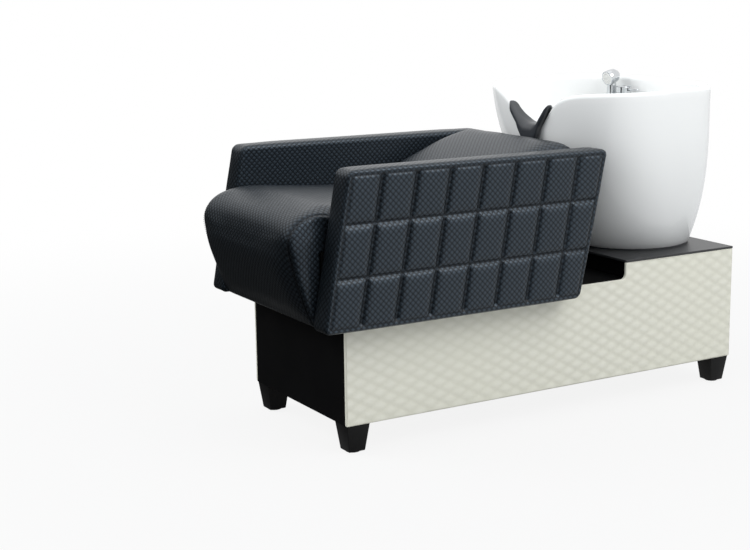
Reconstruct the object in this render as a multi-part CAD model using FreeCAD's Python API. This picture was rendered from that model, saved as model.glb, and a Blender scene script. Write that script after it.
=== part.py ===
import FreeCAD, Part
import math
import os

V = FreeCAD.Vector

# Shampoo chair: a quilted lounge seat and a ceramic basin on one low base.
# Millimetres. +Z is up, the sitter faces -Y and the basin stands towards +Y.
# The origin is on the floor, under the middle of the whole object.
# Sizes whose name ends in _FROM_FRONT are measured back from the base's front face.

# Base
BASE_WIDTH = 488.0
BASE_LENGTH = 1215.0
SEAT_OVERHANG = 136.0
LEG_HEIGHT = 72.0
LOW_HEIGHT = 260.0
STEP_HEIGHT = 44.0
STEP_FROM_FRONT = 838.0
STEP_FILLET = 15.0
COVER_T = 7.0
COVER_EDGE_R = 3.0
COVER_ROUND = 2.4
SIDE_T = 15.0
PANEL_T = 15.0
REAR_RECESS = 4.0
DECK_T = 18.0
DECK_DROP = 2.0
SHELF_T = 18.0
LAMINATE_T = 6.0
RAIL_T = 20.0
SERVICE_HOLE_R = 58.0
SCREW_R = 2.5
SCREW_HEAD_R = 5.0
SCREW_HEAD_T = 2.5

# Legs
LEG_TOP = 62.0
LEG_FOOT = 44.0
LEG_INSET = 3.0
LEG_FOOT_INSET = 12.0
GLIDE_T = 3.0
GLIDE_R = 17.0
BLOCK_SIZE = 60.0
BLOCK_H = 40.0
LEG_BOLT_R = 4.0
LEG_BOLT_DEPTH = 45.0
BOLT_HEAD_R = 8.0
BOLT_HEAD_T = 5.0

# Seat box and cushions
SEAT_BOARD_T = 18.0
SEAT_BOX_H = 168.0
SEAT_BOX_OVERHANG = 60.0
SEAT_THICKNESS = 92.0
SEAT_SAG = 22.0
SAG_AT_MIDDLE = 0.72
SEAT_DEPTH = 330.0
SEAT_CROWN = 6.0
SHOULDER = 9.0
SHOULDER_SHARPNESS = 14
STATIONS = (-1, -0.97, -0.9, -0.75, -0.4, 0, 0.4, 0.75, 0.9, 0.97, 1)
APRON_DROP = 13.0
APRON_FOAM = 14.0
NOSE_DROP = 62.0
NOSE_LENGTH = 72.0
NOSE_ROUND = 0.72
APRON_BULGE = 8.0
BACK_RAMP_H = 203.0
BACK_CREST_FROM_FRONT = 664.0
BACK_BULGE = 17.0
BACK_CROWN = 6.0
CREST_WRAP_Y = 12.0
CREST_WRAP_Z = 30.0
CREST_ROUND = 0.72
BACK_BOARD_T = 15.0
BACK_BOARD_H = 310.0
BACK_BOARD_FROM_FRONT = 600.0

# Arms
ARM_T = 66.0
ARM_GAP = 2.0
ARM_DROP = 13.0
ARM_H = 372.0
ARM_FOOT_OVERHANG = 88.0
ARM_FRONT_RAKE = 68.0
ARM_REAR_FROM_FRONT = 638.0
ARM_REAR_RAKE = 82.0
ARM_CORNER_R = 16.0
ARM_EDGE_R = 9.0
ARM_CORE_T = 18.0
ARM_CORE_INSET = 36.0
QUILT_ROWS = 3
QUILT_COLUMNS = 8
QUILT_PITCH = 93.0
QUILT_DEPTH = 3.5
QUILT_CHANNEL_R = 7.0
ARM_BOLT_R = 4.0
ARM_BOLTS = 3

# Basin
BASIN_H = 441.0
FOOT_R = 170.0
FOOT_CENTRE_FROM_FRONT = 1040.0
RIM_HALF_X = 292.0
RIM_HALF_Y = 238.0
RIM_CENTRE_FROM_FRONT = 931.0
RIM_SLOPE = 0.006
RIM_SQUARENESS = 3.2
SIDE_SWELL = 2.7
LEAN_SWELL = 1.66
WALL = 24.0
RIM_R = 11.0
CASTING_T = 14.0
NOTCH_DEPTH = 110.0
NOTCH_HALF = 87.0
NOTCH_SHARPNESS = 3
BOWL_FLOOR_H = 248.0
BOWL_FLOOR_R = 60.0
BOWL_FLOOR_T = 15.0
BOWL_HALF_X = 232.0
BOWL_HALF_Y = 158.0
BOWL_CENTRE_FROM_FRONT = 912.5
BOWL_SQUARENESS = 2.5
BOWL_SWELL = 2.2
DRAIN_FROM_FRONT = 890.0
LEDGE_SHARE = 0.555
LEDGE_R = 8.0
LEDGE_FALL = 1.0
WALL_DRAFT = 1.0
HOLLOW_SHARE = 0.40
FOOT_SEAL_T = 2.0
RING_POINTS = 32
RING_CROWDING = 0.5
OUTER_SHARES = (0, 0.12, 0.3, 0.55, 0.8, 1)
RIM_TURNS = (30, 60, 90)
BOWL_SHARES = (1, 0.7, 0.4, 0.15, 0)
HOLLOW_WALL_SHARES = (0.2, 0.4, 0.6, 0.8, 1)
HOLLOW_BOWL_SHARES = (1, 0.7, 0.4, 0.15, 0)

# Neck rest
REST_HALF = 92.0
REST_PAD_T = 9.0
REST_LIP_T = 9.0
REST_LIP_H = 40.0
REST_TIP_H = 3.0
REST_STATIONS = (-1, -0.85, -0.65, -0.45, -0.22, 0, 0.22, 0.45, 0.65, 0.85, 1)

# Waste
DRAIN_HOLE_R = 23.0
FLANGE_R = 35.0
FLANGE_T = 4.0
STRAINER_R = 29.0
STRAINER_T = 1.6
STRAINER_HOLE_R = 2.5
STRAINER_RINGS = 2
STRAINER_HOLES = 6
STRAINER_SPREAD = 0.82
STRAINER_SEAT = 2.0
TRAP_SOCKET = 25.0
OUTLET_DROP = 40.0
KNOB_R = 5.0
KNOB_H = 10.0
TAIL_R = 22.5
TAIL_BORE_R = 19.0
TAIL_LENGTH = 70.0
NUT_H = 8.0
NUT_WALL = 8.0
SEAL_T = 3.0
TRAP_R = 32.0
TRAP_H = 90.0
TRAP_WALL = 4.0
TRAP_CUP_H = 34.0
SPIGOT_H = 10.0
OUTLET_L = 24.0
TUBE_T = 2.0
PIPE_R = 20.0
PIPE_BEND_R = 60.0
PIPE_DROP_FROM_FRONT = 1030.0
PIPE_END_Z = 58.0

# Mixer
MIXER_X = -102.0
MIXER_FROM_FRONT = 1100.5
MIXER_R = 22.0
MIXER_H = 46.0
MIXER_FLANGE_R = 26.0
MIXER_FLANGE_T = 5.0
TAP_HOLE_R = 17.5
SHANK_R = 16.5
SHANK_LENGTH = 46.0
TAP_DECK_T = 16.0
SPOT_DEPTH = 1.5
SPOT_MARGIN = 2.0
GASKET_T = 2.0
CARTRIDGE_R = 16.0
CARTRIDGE_H = 24.0
STEM_R = 4.0
INLET_R = 4.0
INLET_THREAD_R = 5.0
INLET_LENGTH = 60.0
INLET_IN = 12.0
INLET_SPREAD = 10.3
HUB_H = 18.0
HUB_FLOOR = 5.0
LEVER_LENGTH = 60.0
LEVER_W = 10.0
LEVER_TIP_W = 8.0
LEVER_BOSS_R = 5.5
LEVER_TIP_R = 6.0
LEVER_T = 6.0
LEVER_PIN_R = 2.5

# Hand sprayer
HOLDER_X = -150.0
HOLDER_FROM_FRONT = 1095.5
HOLDER_R = 19.0
HOLDER_H = 26.0
HOLDER_TUBE_R = 13.5
HOLDER_HOLE_R = 14.0
HANDLE_R = 11.0
HANDLE_IN = 34.0
GRIP_R = 13.0
GRIP_H = 38.0
SPRAY_NECK_R = 7.0
SPRAY_NECK_H = 15.0
HEAD_R = 19.0
HEAD_L = 38.0
HEAD_TILT = 15.0
HEAD_TURN = -5.0
PLATE_R = 15.5
PLATE_T = 2.0

# Clearances
FIT = 0.3
RUNNING = 0.05
SOFT_GAP = 0.4
SEAT_REST = 0.1
REST_GAP = 0.8
REST_CLEAR = 2.5
PAST = 1.0

# Places that follow from the sizes above
HALF_W = BASE_WIDTH / 2
FRONT_Y = (SEAT_OVERHANG - BASE_LENGTH) / 2
REAR_Y = FRONT_Y + BASE_LENGTH
STEP_Y = FRONT_Y + STEP_FROM_FRONT
BOTTOM_Z = LEG_HEIGHT
LOW_Z = BOTTOM_Z + LOW_HEIGHT
HIGH_Z = LOW_Z + STEP_HEIGHT
BOARD_Z = HIGH_Z + LAMINATE_T
DECK_Z = LOW_Z - DECK_DROP
DECK_UNDER = DECK_Z - DECK_T
SHELF_UNDER = HIGH_Z - SHELF_T
INNER_W = HALF_W - COVER_T
BOARD_W = INNER_W - SIDE_T
ARM_IN = HALF_W + ARM_GAP
ARM_OUT = ARM_IN + ARM_T
ARM_Z = DECK_Z - ARM_DROP
ARM_TOP = ARM_Z + ARM_H
SHELF_Z = DECK_Z + SEAT_BOX_H


# Helpers
def box(x0, x1, y0, y1, z0, z1):
    return Part.makeBox(x1 - x0, y1 - y0, z1 - z0, V(x0, y0, z0))


def rod(x, y, z0, z1, r):
    return Part.makeCylinder(r, z1 - z0, V(x, y, z0))


def ring(x, y, z0, z1, r_out, r_in):
    return rod(x, y, z0, z1, r_out).cut(rod(x, y, z0 - PAST, z1 + PAST, r_in))


def hexagon(x, y, z0, z1, corner_r):
    corners = []
    for i in range(7):
        a = math.radians(60 * i)
        corners.append(V(x + corner_r * math.cos(a), y + corner_r * math.sin(a), z0))
    return Part.Face(Part.makePolygon(corners)).extrude(V(0, 0, z1 - z0))


def mirrored(shape):
    return shape.mirror(V(0, 0, 0), V(1, 0, 0))


def outline(points, radii):
    # A closed outline in the YZ plane, rounded at each point that has a radius.
    count = len(points)
    corners = []
    for i in range(count):
        p = V(0, *points[i])
        r = radii[i]
        before = (V(0, *points[i - 1]) - p).normalize()
        after = (V(0, *points[(i + 1) % count]) - p).normalize()
        half = before.getAngle(after) / 2
        back = r / math.tan(half)
        deep = r / math.sin(half) - r
        middle = (before + after).normalize()
        corners.append((p + before * back, p + middle * deep, p + after * back))
    edges = []
    for i in range(count):
        start, via, stop = corners[i]
        if radii[i]:
            edges.append(Part.Arc(start, via, stop).toShape())
        edges.append(Part.LineSegment(stop, corners[(i + 1) % count][0]).toShape())
    return Part.Wire(edges)


def slab(points, radii, x0, x1):
    wire = outline(points, radii)
    wire.translate(V(x0, 0, 0))
    return Part.Face(wire).extrude(V(x1 - x0, 0, 0))


def edges_at_x(shape, x):
    found = []
    for edge in shape.Edges:
        b = edge.BoundBox
        if abs(b.XMin - x) < 0.01 and abs(b.XMax - x) < 0.01:
            found.append(edge)
    return found


def curve_through(a, via, b):
    return Part.Arc(a, via, b).toShape()


def line(a, b):
    return Part.LineSegment(a, b).toShape()


os.makedirs("parts", exist_ok=True)


def save(name, *solids):
    shape = solids[0]
    if len(solids) > 1:
        shape = Part.makeCompound(list(solids))
    shape.exportStep("parts/" + name + ".step")


# Base covers and boards
def stepped(front_inset, rear_inset, low_z, high_z, step_y):
    front = FRONT_Y + front_inset
    rear = REAR_Y - rear_inset
    return [
        (front, BOTTOM_Z),
        (rear, BOTTOM_Z),
        (rear, high_z),
        (step_y, high_z),
        (step_y, low_z),
        (front, low_z),
    ]


cover_radii = [COVER_EDGE_R] * 4 + [STEP_FILLET, COVER_EDGE_R]
cover = slab(stepped(0, 0, LOW_Z, HIGH_Z, STEP_Y), cover_radii, INNER_W, HALF_W)
cover = cover.makeFillet(COVER_ROUND, edges_at_x(cover, HALF_W))
save("side_cover_left", cover)
save("side_cover_right", mirrored(cover))

riser_y = STEP_Y + STEP_FILLET
rear_face = REAR_Y - REAR_RECESS
rear_in = rear_face - PANEL_T
side_points = stepped(PANEL_T, REAR_Y - rear_in, DECK_UNDER, SHELF_UNDER, riser_y)
side = slab(side_points, [0] * len(side_points), BOARD_W, INNER_W)
save("front_panel", box(-INNER_W, INNER_W, FRONT_Y, FRONT_Y + PANEL_T, BOTTOM_Z, DECK_UNDER))

# Rear access panel, held by screws into the side boards' ends
rear_panel = box(-INNER_W, INNER_W, rear_in, rear_face, BOTTOM_Z, SHELF_UNDER)
side_middle = (INNER_W + BOARD_W) / 2
screw_rise = (SHELF_UNDER - BOTTOM_Z) / 3
screw_in = 2 * PANEL_T
rear_screws = []
back_way = V(0, -1, 0)
side_left = side
for sx in (-1, 1):
    for sz in (-1, 0, 1):
        at = V(sx * side_middle, rear_face, (BOTTOM_Z + SHELF_UNDER) / 2 + sz * screw_rise)
        top = at + V(0, SCREW_HEAD_T, 0)
        screw = Part.makeCylinder(SCREW_R, screw_in, at, back_way)
        rear_screws.append(screw.fuse(Part.makeCylinder(SCREW_HEAD_R, SCREW_HEAD_T, top, back_way)))
        hole = Part.makeCylinder(SCREW_R + RUNNING, screw_in + SCREW_HEAD_T + FIT, top, back_way)
        rear_panel = rear_panel.cut(hole)
        if sx > 0:
            side_left = side_left.cut(hole)
save("side_board_left", side_left)
save("side_board_right", mirrored(side_left))
save("rear_panel", rear_panel)
save("rear_panel_screws", *rear_screws)

# Deck under the seat, riser, shelf and laminate board under the basin
pipe_y = FRONT_Y + PIPE_DROP_FROM_FRONT
deck = box(-INNER_W, INNER_W, FRONT_Y, riser_y, DECK_UNDER, DECK_Z)
save("riser_panel", box(-BOARD_W, BOARD_W, riser_y, riser_y + PANEL_T, DECK_UNDER, SHELF_UNDER))
save("cross_rail", box(-BOARD_W, BOARD_W, riser_y - RAIL_T, riser_y, BOTTOM_Z, DECK_UNDER))
service_hole = rod(0, pipe_y, BOTTOM_Z, BOARD_Z + PAST, SERVICE_HOLE_R)
shelf = box(-INNER_W, INNER_W, riser_y, rear_face, SHELF_UNDER, HIGH_Z).cut(service_hole)
save("basin_shelf", shelf)
board = box(-HALF_W, HALF_W, STEP_Y, REAR_Y, HIGH_Z, BOARD_Z).cut(service_hole)
save("basin_board", board)

# Corner blocks, legs, leg bolts and glides
blocks = []
bolts = []
glides = []
leg_middle = LEG_INSET + LEG_TOP / 2
for name, sx, sy in (("front_left", 1, -1), ("front_right", -1, -1), ("rear_left", 1, 1), ("rear_right", -1, 1)):
    corner_y = FRONT_Y if sy < 0 else REAR_Y
    wall_y = FRONT_Y + PANEL_T if sy < 0 else rear_in
    x_near = sx * BOARD_W
    x_far = sx * (BOARD_W - BLOCK_SIZE)
    y_far = wall_y - sy * BLOCK_SIZE
    bx = sx * (HALF_W - leg_middle)
    by = corner_y - sy * leg_middle
    bolt = rod(bx, by, BOTTOM_Z - LEG_BOLT_DEPTH, BOTTOM_Z + BLOCK_H, LEG_BOLT_R)
    bolt = bolt.fuse(hexagon(bx, by, BOTTOM_Z + BLOCK_H, BOTTOM_Z + BLOCK_H + BOLT_HEAD_T, BOLT_HEAD_R))
    bolts.append(bolt)
    hole = rod(bx, by, BOTTOM_Z - LEG_BOLT_DEPTH - FIT, BOTTOM_Z + BLOCK_H + PAST, LEG_BOLT_R + RUNNING)
    block = box(min(x_near, x_far), max(x_near, x_far), min(wall_y, y_far), max(wall_y, y_far),
                BOTTOM_Z, BOTTOM_Z + BLOCK_H)
    blocks.append(block.cut(hole))
    squares = []
    for inset, size, z in ((LEG_FOOT_INSET, LEG_FOOT, GLIDE_T), (LEG_INSET, LEG_TOP, BOTTOM_Z)):
        xs = (sx * (HALF_W - inset), sx * (HALF_W - inset - size))
        ys = (corner_y - sy * inset, corner_y - sy * (inset + size))
        square = [V(xs[0], ys[0], z), V(xs[1], ys[0], z), V(xs[1], ys[1], z), V(xs[0], ys[1], z)]
        squares.append(Part.makePolygon(square + [square[0]]))
    leg = Part.makeLoft(squares, True, True)
    save("leg_" + name, leg.cut(hole))
    foot_middle = LEG_FOOT_INSET + LEG_FOOT / 2
    glides.append(rod(sx * (HALF_W - foot_middle), corner_y - sy * foot_middle, 0, GLIDE_T, GLIDE_R))
save("corner_blocks", *blocks)
save("leg_bolts", *bolts)
save("leg_glides", *glides)

# Seat box: floor, front, side and top boards, and the raked back board
box_front = FRONT_Y - SEAT_BOX_OVERHANG
back_foot = FRONT_Y + BACK_BOARD_FROM_FRONT
rake = ARM_REAR_RAKE / ARM_H
box_half = ARM_IN - SEAT_BOARD_T
top_rear = back_foot + (SEAT_BOX_H - SEAT_BOARD_T) * rake
floor_top = DECK_Z + SEAT_BOARD_T
shelf_low = SHELF_Z - SEAT_BOARD_T
seat_floor = box(-box_half, box_half, box_front, back_foot, DECK_Z, floor_top)
save("seat_front_board", box(-box_half, box_half, box_front, box_front + SEAT_BOARD_T, floor_top, shelf_low))
save("seat_top_board", box(-box_half, box_half, box_front, top_rear, shelf_low, SHELF_Z))
back_points = [
    (back_foot, DECK_Z),
    (back_foot + BACK_BOARD_T, DECK_Z),
    (back_foot + BACK_BOARD_T + BACK_BOARD_H * rake, DECK_Z + BACK_BOARD_H),
    (back_foot + BACK_BOARD_H * rake, DECK_Z + BACK_BOARD_H),
]
save("back_board", slab(back_points, [0] * len(back_points), -box_half, box_half))

seat_screws = []
for sx in (-1, 1):
    for y in (FRONT_Y + BLOCK_SIZE + 2 * PANEL_T, back_foot - 2 * PANEL_T):
        x = sx * box_half / 2
        screw = rod(x, y, DECK_UNDER, floor_top - SCREW_HEAD_T, SCREW_R)
        seat_screws.append(screw.fuse(rod(x, y, DECK_UNDER - SCREW_HEAD_T, DECK_UNDER, SCREW_HEAD_R)))
        hole = rod(x, y, DECK_UNDER - PAST, floor_top - SCREW_HEAD_T + FIT, SCREW_R + RUNNING)
        deck = deck.cut(hole)
        seat_floor = seat_floor.cut(hole)
save("seat_deck", deck)
save("seat_floor_board", seat_floor)
save("seat_screws", *seat_screws)

# Arms: a plywood core in an upholstered pad whose outer face is quilted
arm_front = FRONT_Y - ARM_FOOT_OVERHANG
arm_rear = FRONT_Y + ARM_REAR_FROM_FRONT
arm_points = [
    (arm_front, ARM_Z),
    (arm_rear, ARM_Z),
    (arm_rear + ARM_REAR_RAKE, ARM_TOP),
    (arm_front + ARM_FRONT_RAKE, ARM_TOP),
]
core_top = ARM_TOP - ARM_CORE_INSET
core_front = arm_front + ARM_CORE_INSET
core_rear = arm_rear - ARM_CORE_INSET
core_points = [
    (core_front, ARM_Z),
    (core_rear, ARM_Z),
    (core_rear + ARM_REAR_RAKE * (core_top - ARM_Z) / ARM_H, core_top),
    (core_front + ARM_FRONT_RAKE * (core_top - ARM_Z) / ARM_H, core_top),
]
core_in = ARM_IN + (ARM_T - ARM_CORE_T) / 2
core_out = core_in + ARM_CORE_T
core = slab(core_points, [0] * len(core_points), core_in, core_out)
pocket_points = [
    (core_points[0][0] - FIT, ARM_Z - PAST),
    (core_points[1][0] + FIT, ARM_Z - PAST),
    (core_points[2][0] + FIT, core_top + FIT),
    (core_points[3][0] - FIT, core_top + FIT),
]
pocket = slab(pocket_points, [0] * len(pocket_points), core_in - FIT, core_out + FIT)
pad = slab(arm_points, [ARM_CORNER_R] * 4, ARM_IN, ARM_OUT)
pad = pad.makeFillet(ARM_EDGE_R, edges_at_x(pad, ARM_IN) + edges_at_x(pad, ARM_OUT))
pad = pad.cut(pocket)
channel_x = ARM_OUT + QUILT_CHANNEL_R - QUILT_DEPTH
for row in range(1, QUILT_ROWS):
    z = ARM_Z + row * ARM_H / QUILT_ROWS
    run = arm_rear - arm_front + ARM_REAR_RAKE
    pad = pad.cut(Part.makeCylinder(QUILT_CHANNEL_R, run, V(channel_x, arm_front, z), V(0, 1, 0)))
for column in range(1, QUILT_COLUMNS):
    foot = V(channel_x, arm_front + column * QUILT_PITCH, ARM_Z)
    way = V(0, ARM_FRONT_RAKE, ARM_H)
    pad = pad.cut(Part.makeCylinder(QUILT_CHANNEL_R, way.Length, foot, way))

# Bolts that hold each arm to the seat box's side board
side_low = LOW_Z + FIT
seat_side_points = [
    (box_front, side_low),
    (back_foot + BACK_BOARD_T + (side_low - DECK_Z) * rake, side_low),
    (back_foot + BACK_BOARD_T + SEAT_BOX_H * rake, SHELF_Z),
    (box_front, SHELF_Z),
]
seat_side = slab(seat_side_points, [0] * 4, box_half, ARM_IN)
bolt_z = DECK_Z + SEAT_BOX_H / 2
bolt_length = core_out - FIT - box_half
arm_bolts = []
out_way = V(1, 0, 0)
for i in range(ARM_BOLTS):
    y = core_front + (i + 0.5) * (back_foot - core_front) / ARM_BOLTS
    at = V(box_half, y, bolt_z)
    bolt = Part.makeCylinder(ARM_BOLT_R, bolt_length, at, out_way)
    head = Part.makeCylinder(BOLT_HEAD_R, BOLT_HEAD_T, at - V(BOLT_HEAD_T, 0, 0), out_way)
    bolt = bolt.fuse(head)
    arm_bolts.append(bolt)
    arm_bolts.append(mirrored(bolt))
    hole = Part.makeCylinder(ARM_BOLT_R + RUNNING, bolt_length + FIT / 2, at, out_way)
    seat_side = seat_side.cut(hole)
    core = core.cut(hole)
    pad = pad.cut(Part.makeCylinder(ARM_BOLT_R + FIT, core_in - box_half, at, out_way))
for side_name, turn in (("left", lambda s: s), ("right", mirrored)):
    save("arm_core_" + side_name, turn(core))
    save("arm_pad_" + side_name, turn(pad))
    save("seat_side_board_" + side_name, turn(seat_side))
save("arm_bolts", *arm_bolts)

# Cushions: side profiles lofted across the seat, crowned in the middle and drawn in at both ends
cushion_half = ARM_IN - SOFT_GAP
seat_rear = FRONT_Y + SEAT_DEPTH
seat_top = SHELF_Z + SEAT_THICKNESS
nose_y = FRONT_Y - SEAT_OVERHANG
apron_z = DECK_Z - APRON_DROP
ramp_z = seat_top - SEAT_SAG
crest_y = FRONT_Y + BACK_CREST_FROM_FRONT


def seat_profile(x, crown, drawn):
    # crown lifts the top, drawn pulls nose and top in
    lift = crown - drawn
    low_back = V(x, box_front, apron_z)
    corner = V(x, box_front, SHELF_Z)
    rear_low = V(x, seat_rear, SHELF_Z)
    rear_top = V(x, seat_rear, ramp_z - drawn)
    dip = V(x, (seat_rear + nose_y) / 2 + NOSE_LENGTH / 2, seat_top - SEAT_SAG * SAG_AT_MIDDLE + lift)
    top = V(x, nose_y + NOSE_LENGTH + drawn, seat_top + lift)
    nose = V(x, nose_y + drawn, seat_top - NOSE_DROP + lift)
    bend = V(x, nose_y + NOSE_LENGTH * (1 - NOSE_ROUND) + drawn, seat_top - NOSE_DROP * (1 - NOSE_ROUND) + lift)
    low = V(x, box_front - APRON_FOAM, apron_z)
    bulge = V(x, (nose.y + low.y) / 2 - APRON_BULGE, (nose.z + low.z) / 2)
    return Part.Wire([
        line(low_back, corner),
        line(corner, rear_low),
        line(rear_low, rear_top),
        curve_through(rear_top, dip, top),
        curve_through(top, bend, nose),
        curve_through(nose, bulge, low),
        line(low, low_back),
    ])


def back_profile(x, crown, drawn):
    lift = crown - drawn
    front = seat_rear + SOFT_GAP
    board_top = DECK_Z + BACK_BOARD_H
    board_front = back_foot + BACK_BOARD_H * rake
    low = V(x, front, SHELF_Z)
    start = V(x, front, ramp_z - drawn)
    crest = V(x, crest_y, SHELF_Z + BACK_RAMP_H + lift)
    swell = V(x, (start.y + crest.y) / 2, (start.z + crest.z) / 2 + BACK_BULGE)
    rear = V(x, crest_y + CREST_WRAP_Y - drawn / 2, SHELF_Z + BACK_RAMP_H - CREST_WRAP_Z)
    wrap = V(x, crest_y + CREST_WRAP_Y * CREST_ROUND, crest.z - CREST_WRAP_Z * (1 - CREST_ROUND))
    on_board = V(x, board_front + BACK_BOARD_T / 2, board_top)
    board = V(x, board_front, board_top)
    foot = V(x, back_foot + SEAT_BOX_H * rake, SHELF_Z)
    return Part.Wire([
        line(low, start),
        curve_through(start, swell, crest),
        curve_through(crest, wrap, rear),
        line(rear, on_board),
        line(on_board, board),
        line(board, foot),
        line(foot, low),
    ])


def cushion(profile, crown):
    profiles = []
    for share in STATIONS:
        drawn = SHOULDER * abs(share) ** SHOULDER_SHARPNESS
        profiles.append(profile(share * cushion_half, crown * (1 - share * share), drawn))
    return Part.makeLoft(profiles, True, False)


save("seat_cushion", cushion(seat_profile, SEAT_CROWN))
save("back_cushion", cushion(back_profile, BACK_CROWN))

# Basin: one glazed casting, lofted up its outer wall, over the rim and down into the bowl
foot_z = BOARD_Z + FOOT_SEAL_T
rim_z = foot_z + BASIN_H
foot_y = FRONT_Y + FOOT_CENTRE_FROM_FRONT
rim_y = FRONT_Y + RIM_CENTRE_FROM_FRONT
bowl_y = FRONT_Y + BOWL_CENTRE_FROM_FRONT
drain_y = FRONT_Y + DRAIN_FROM_FRONT
bowl_floor = foot_z + BOWL_FLOOR_H
angles = []
for i in range(RING_POINTS):
    # Points round a ring, from the rear and back to it, crowded towards the notch in front.
    way_round = 2 * i / RING_POINTS - 1
    crowded = (1 - RING_CROWDING) * way_round + RING_CROWDING * way_round ** 3
    angles.append(math.pi * (crowded - 0.5))


def swell(share, power):
    return 1 - max(0.0, 1 - share) ** power


def oval(angle, half_x, half_y, centre_y, squareness):
    # A point on a superellipse, seen at an angle from its middle.
    c = math.cos(angle)
    s = math.sin(angle)
    r = (abs(c / half_x) ** squareness + abs(s / half_y) ** squareness) ** (-1 / squareness)
    return r * c, centre_y + r * s


def wall_section(z, inset):
    # Half width, half length, middle and squareness of the wall at a height.
    share = min(1.0, (z - foot_z) / BASIN_H)
    grow = swell(share, SIDE_SWELL)
    half_x = FOOT_R + (RIM_HALF_X - FOOT_R) * grow - inset
    half_y = FOOT_R + (RIM_HALF_Y - FOOT_R) * grow - inset
    centre = foot_y + (rim_y - foot_y) * swell(share, LEAN_SWELL)
    return half_x, half_y, centre, 2 + (RIM_SQUARENESS - 2) * share


def wall_at(angle, z, inset):
    x, y = oval(angle, *wall_section(z, inset))
    return V(x, y, z)


def wall_front(x, z, inset):
    # How far forward the wall reaches at one x and height.
    half_x, half_y, centre, squareness = wall_section(z, inset)
    return centre - half_y * (1 - abs(x / half_x) ** squareness) ** (1 / squareness)


def rim_line(x, y):
    z = rim_z + RIM_SLOPE * (y - rim_y)
    if y < rim_y:
        z -= NOTCH_DEPTH / (1 + abs(x / NOTCH_HALF) ** NOTCH_SHARPNESS)
    return z


def rim_at(angle):
    p = wall_at(angle, rim_z, 0)
    return rim_line(p.x, p.y)


def ledge_at(angle):
    return bowl_floor + LEDGE_SHARE * (rim_at(angle) - bowl_floor)


def bowl_at(angle, share, z, grow):
    wide = swell(share, BOWL_SWELL)
    half_x = BOWL_FLOOR_R + (BOWL_HALF_X - BOWL_FLOOR_R) * wide + grow
    half_y = BOWL_FLOOR_R + (BOWL_HALF_Y - BOWL_FLOOR_R) * wide + grow
    centre = drain_y + (bowl_y - drain_y) * wide
    x, y = oval(angle, half_x, half_y, centre, 2 + (BOWL_SQUARENESS - 2) * wide)
    return V(x, y, z)


def around(place):
    # A closed ring; every ring has the same parameters, so that a loft through them stays light.
    curve = Part.BSplineCurve()
    steps = [i / RING_POINTS for i in range(RING_POINTS + 1)]
    curve.interpolate(Points=[place(angle) for angle in angles], PeriodicFlag=True, Parameters=steps)
    return Part.Wire([curve.toShape()])


def outer_ring(share):
    return around(lambda a: wall_at(a, foot_z + share * (rim_at(a) - RIM_R - foot_z), 0))


def rim_ring(turn, side_inset, way):
    # One ring over the rounded rim; turn goes from 0 at the wall to 90 degrees on top.
    t = math.radians(turn)
    inset = side_inset + way * RIM_R * (1 - math.cos(t))
    return around(lambda a: wall_at(a, rim_at(a) - RIM_R + RIM_R * math.sin(t), inset))


def inner_ring(inset, rise):
    return around(lambda a: wall_at(a, ledge_at(a) + rise, inset))


def bowl_ring(share):
    return around(lambda a: bowl_at(a, share, bowl_floor + share * (ledge_at(a) - LEDGE_R - bowl_floor), 0))


wall_skin = Part.makeLoft([outer_ring(share) for share in OUTER_SHARES], False, False)
over = [outer_ring(1)]
over += [rim_ring(turn, 0, 1) for turn in RIM_TURNS]
over += [rim_ring(turn, WALL, -1) for turn in RIM_TURNS[::-1] + (0,)]
over += [inner_ring(WALL + WALL_DRAFT, LEDGE_R), inner_ring(WALL + LEDGE_R, 0)]
over += [around(lambda a: bowl_at(a, 1, ledge_at(a) - LEDGE_FALL, LEDGE_R / 2)), bowl_ring(1)]
rim_skin = Part.makeLoft(over, False, True)
bowl_skin = Part.makeLoft([bowl_ring(share) for share in BOWL_SHARES], False, False)
ends = [Part.Face(outer_ring(0)), Part.Face(bowl_ring(0))]
skin = Part.makeShell(wall_skin.Faces + rim_skin.Faces + bowl_skin.Faces + ends)
skin.sewShape()
basin = Part.makeSolid(skin)


def hollow_at(angle):
    return bowl_floor + HOLLOW_SHARE * (rim_at(angle) - bowl_floor)


floor_under = bowl_floor - BOWL_FLOOR_T


def hollow_wall(share):
    return around(lambda a: wall_at(a, foot_z + share * (hollow_at(a) - foot_z), CASTING_T))


def hollow_bowl(share):
    return around(lambda a: bowl_at(a, share, floor_under + share * (hollow_at(a) - floor_under), CASTING_T))


mouth = around(lambda a: wall_at(a, foot_z, CASTING_T))
mouth.translate(V(0, 0, -PAST))
hollow = [mouth] + [hollow_wall(share) for share in HOLLOW_WALL_SHARES]
hollow += [hollow_bowl(share) for share in HOLLOW_BOWL_SHARES]
hollow_solid = Part.makeLoft(hollow, True, True)

# Waste: flange, strainer, gasket, nut, bottle trap and pipe
tail_end = bowl_floor - TAIL_LENGTH
drain_cut = rod(0, drain_y, floor_under - PAST, bowl_floor + PAST, DRAIN_HOLE_R)
drain_cut = drain_cut.fuse(rod(0, drain_y, bowl_floor - FLANGE_T, bowl_floor + PAST, FLANGE_R + FIT))
flange = rod(0, drain_y, bowl_floor - FLANGE_T, bowl_floor, FLANGE_R)
flange = flange.fuse(rod(0, drain_y, tail_end, bowl_floor - FLANGE_T, TAIL_R))
flange = flange.cut(rod(0, drain_y, tail_end - PAST, bowl_floor + PAST, TAIL_BORE_R))
strainer_z = bowl_floor - STRAINER_SEAT
flange = flange.cut(rod(0, drain_y, strainer_z, bowl_floor + PAST, STRAINER_R + SOFT_GAP))
save("drain_flange", flange)

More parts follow.
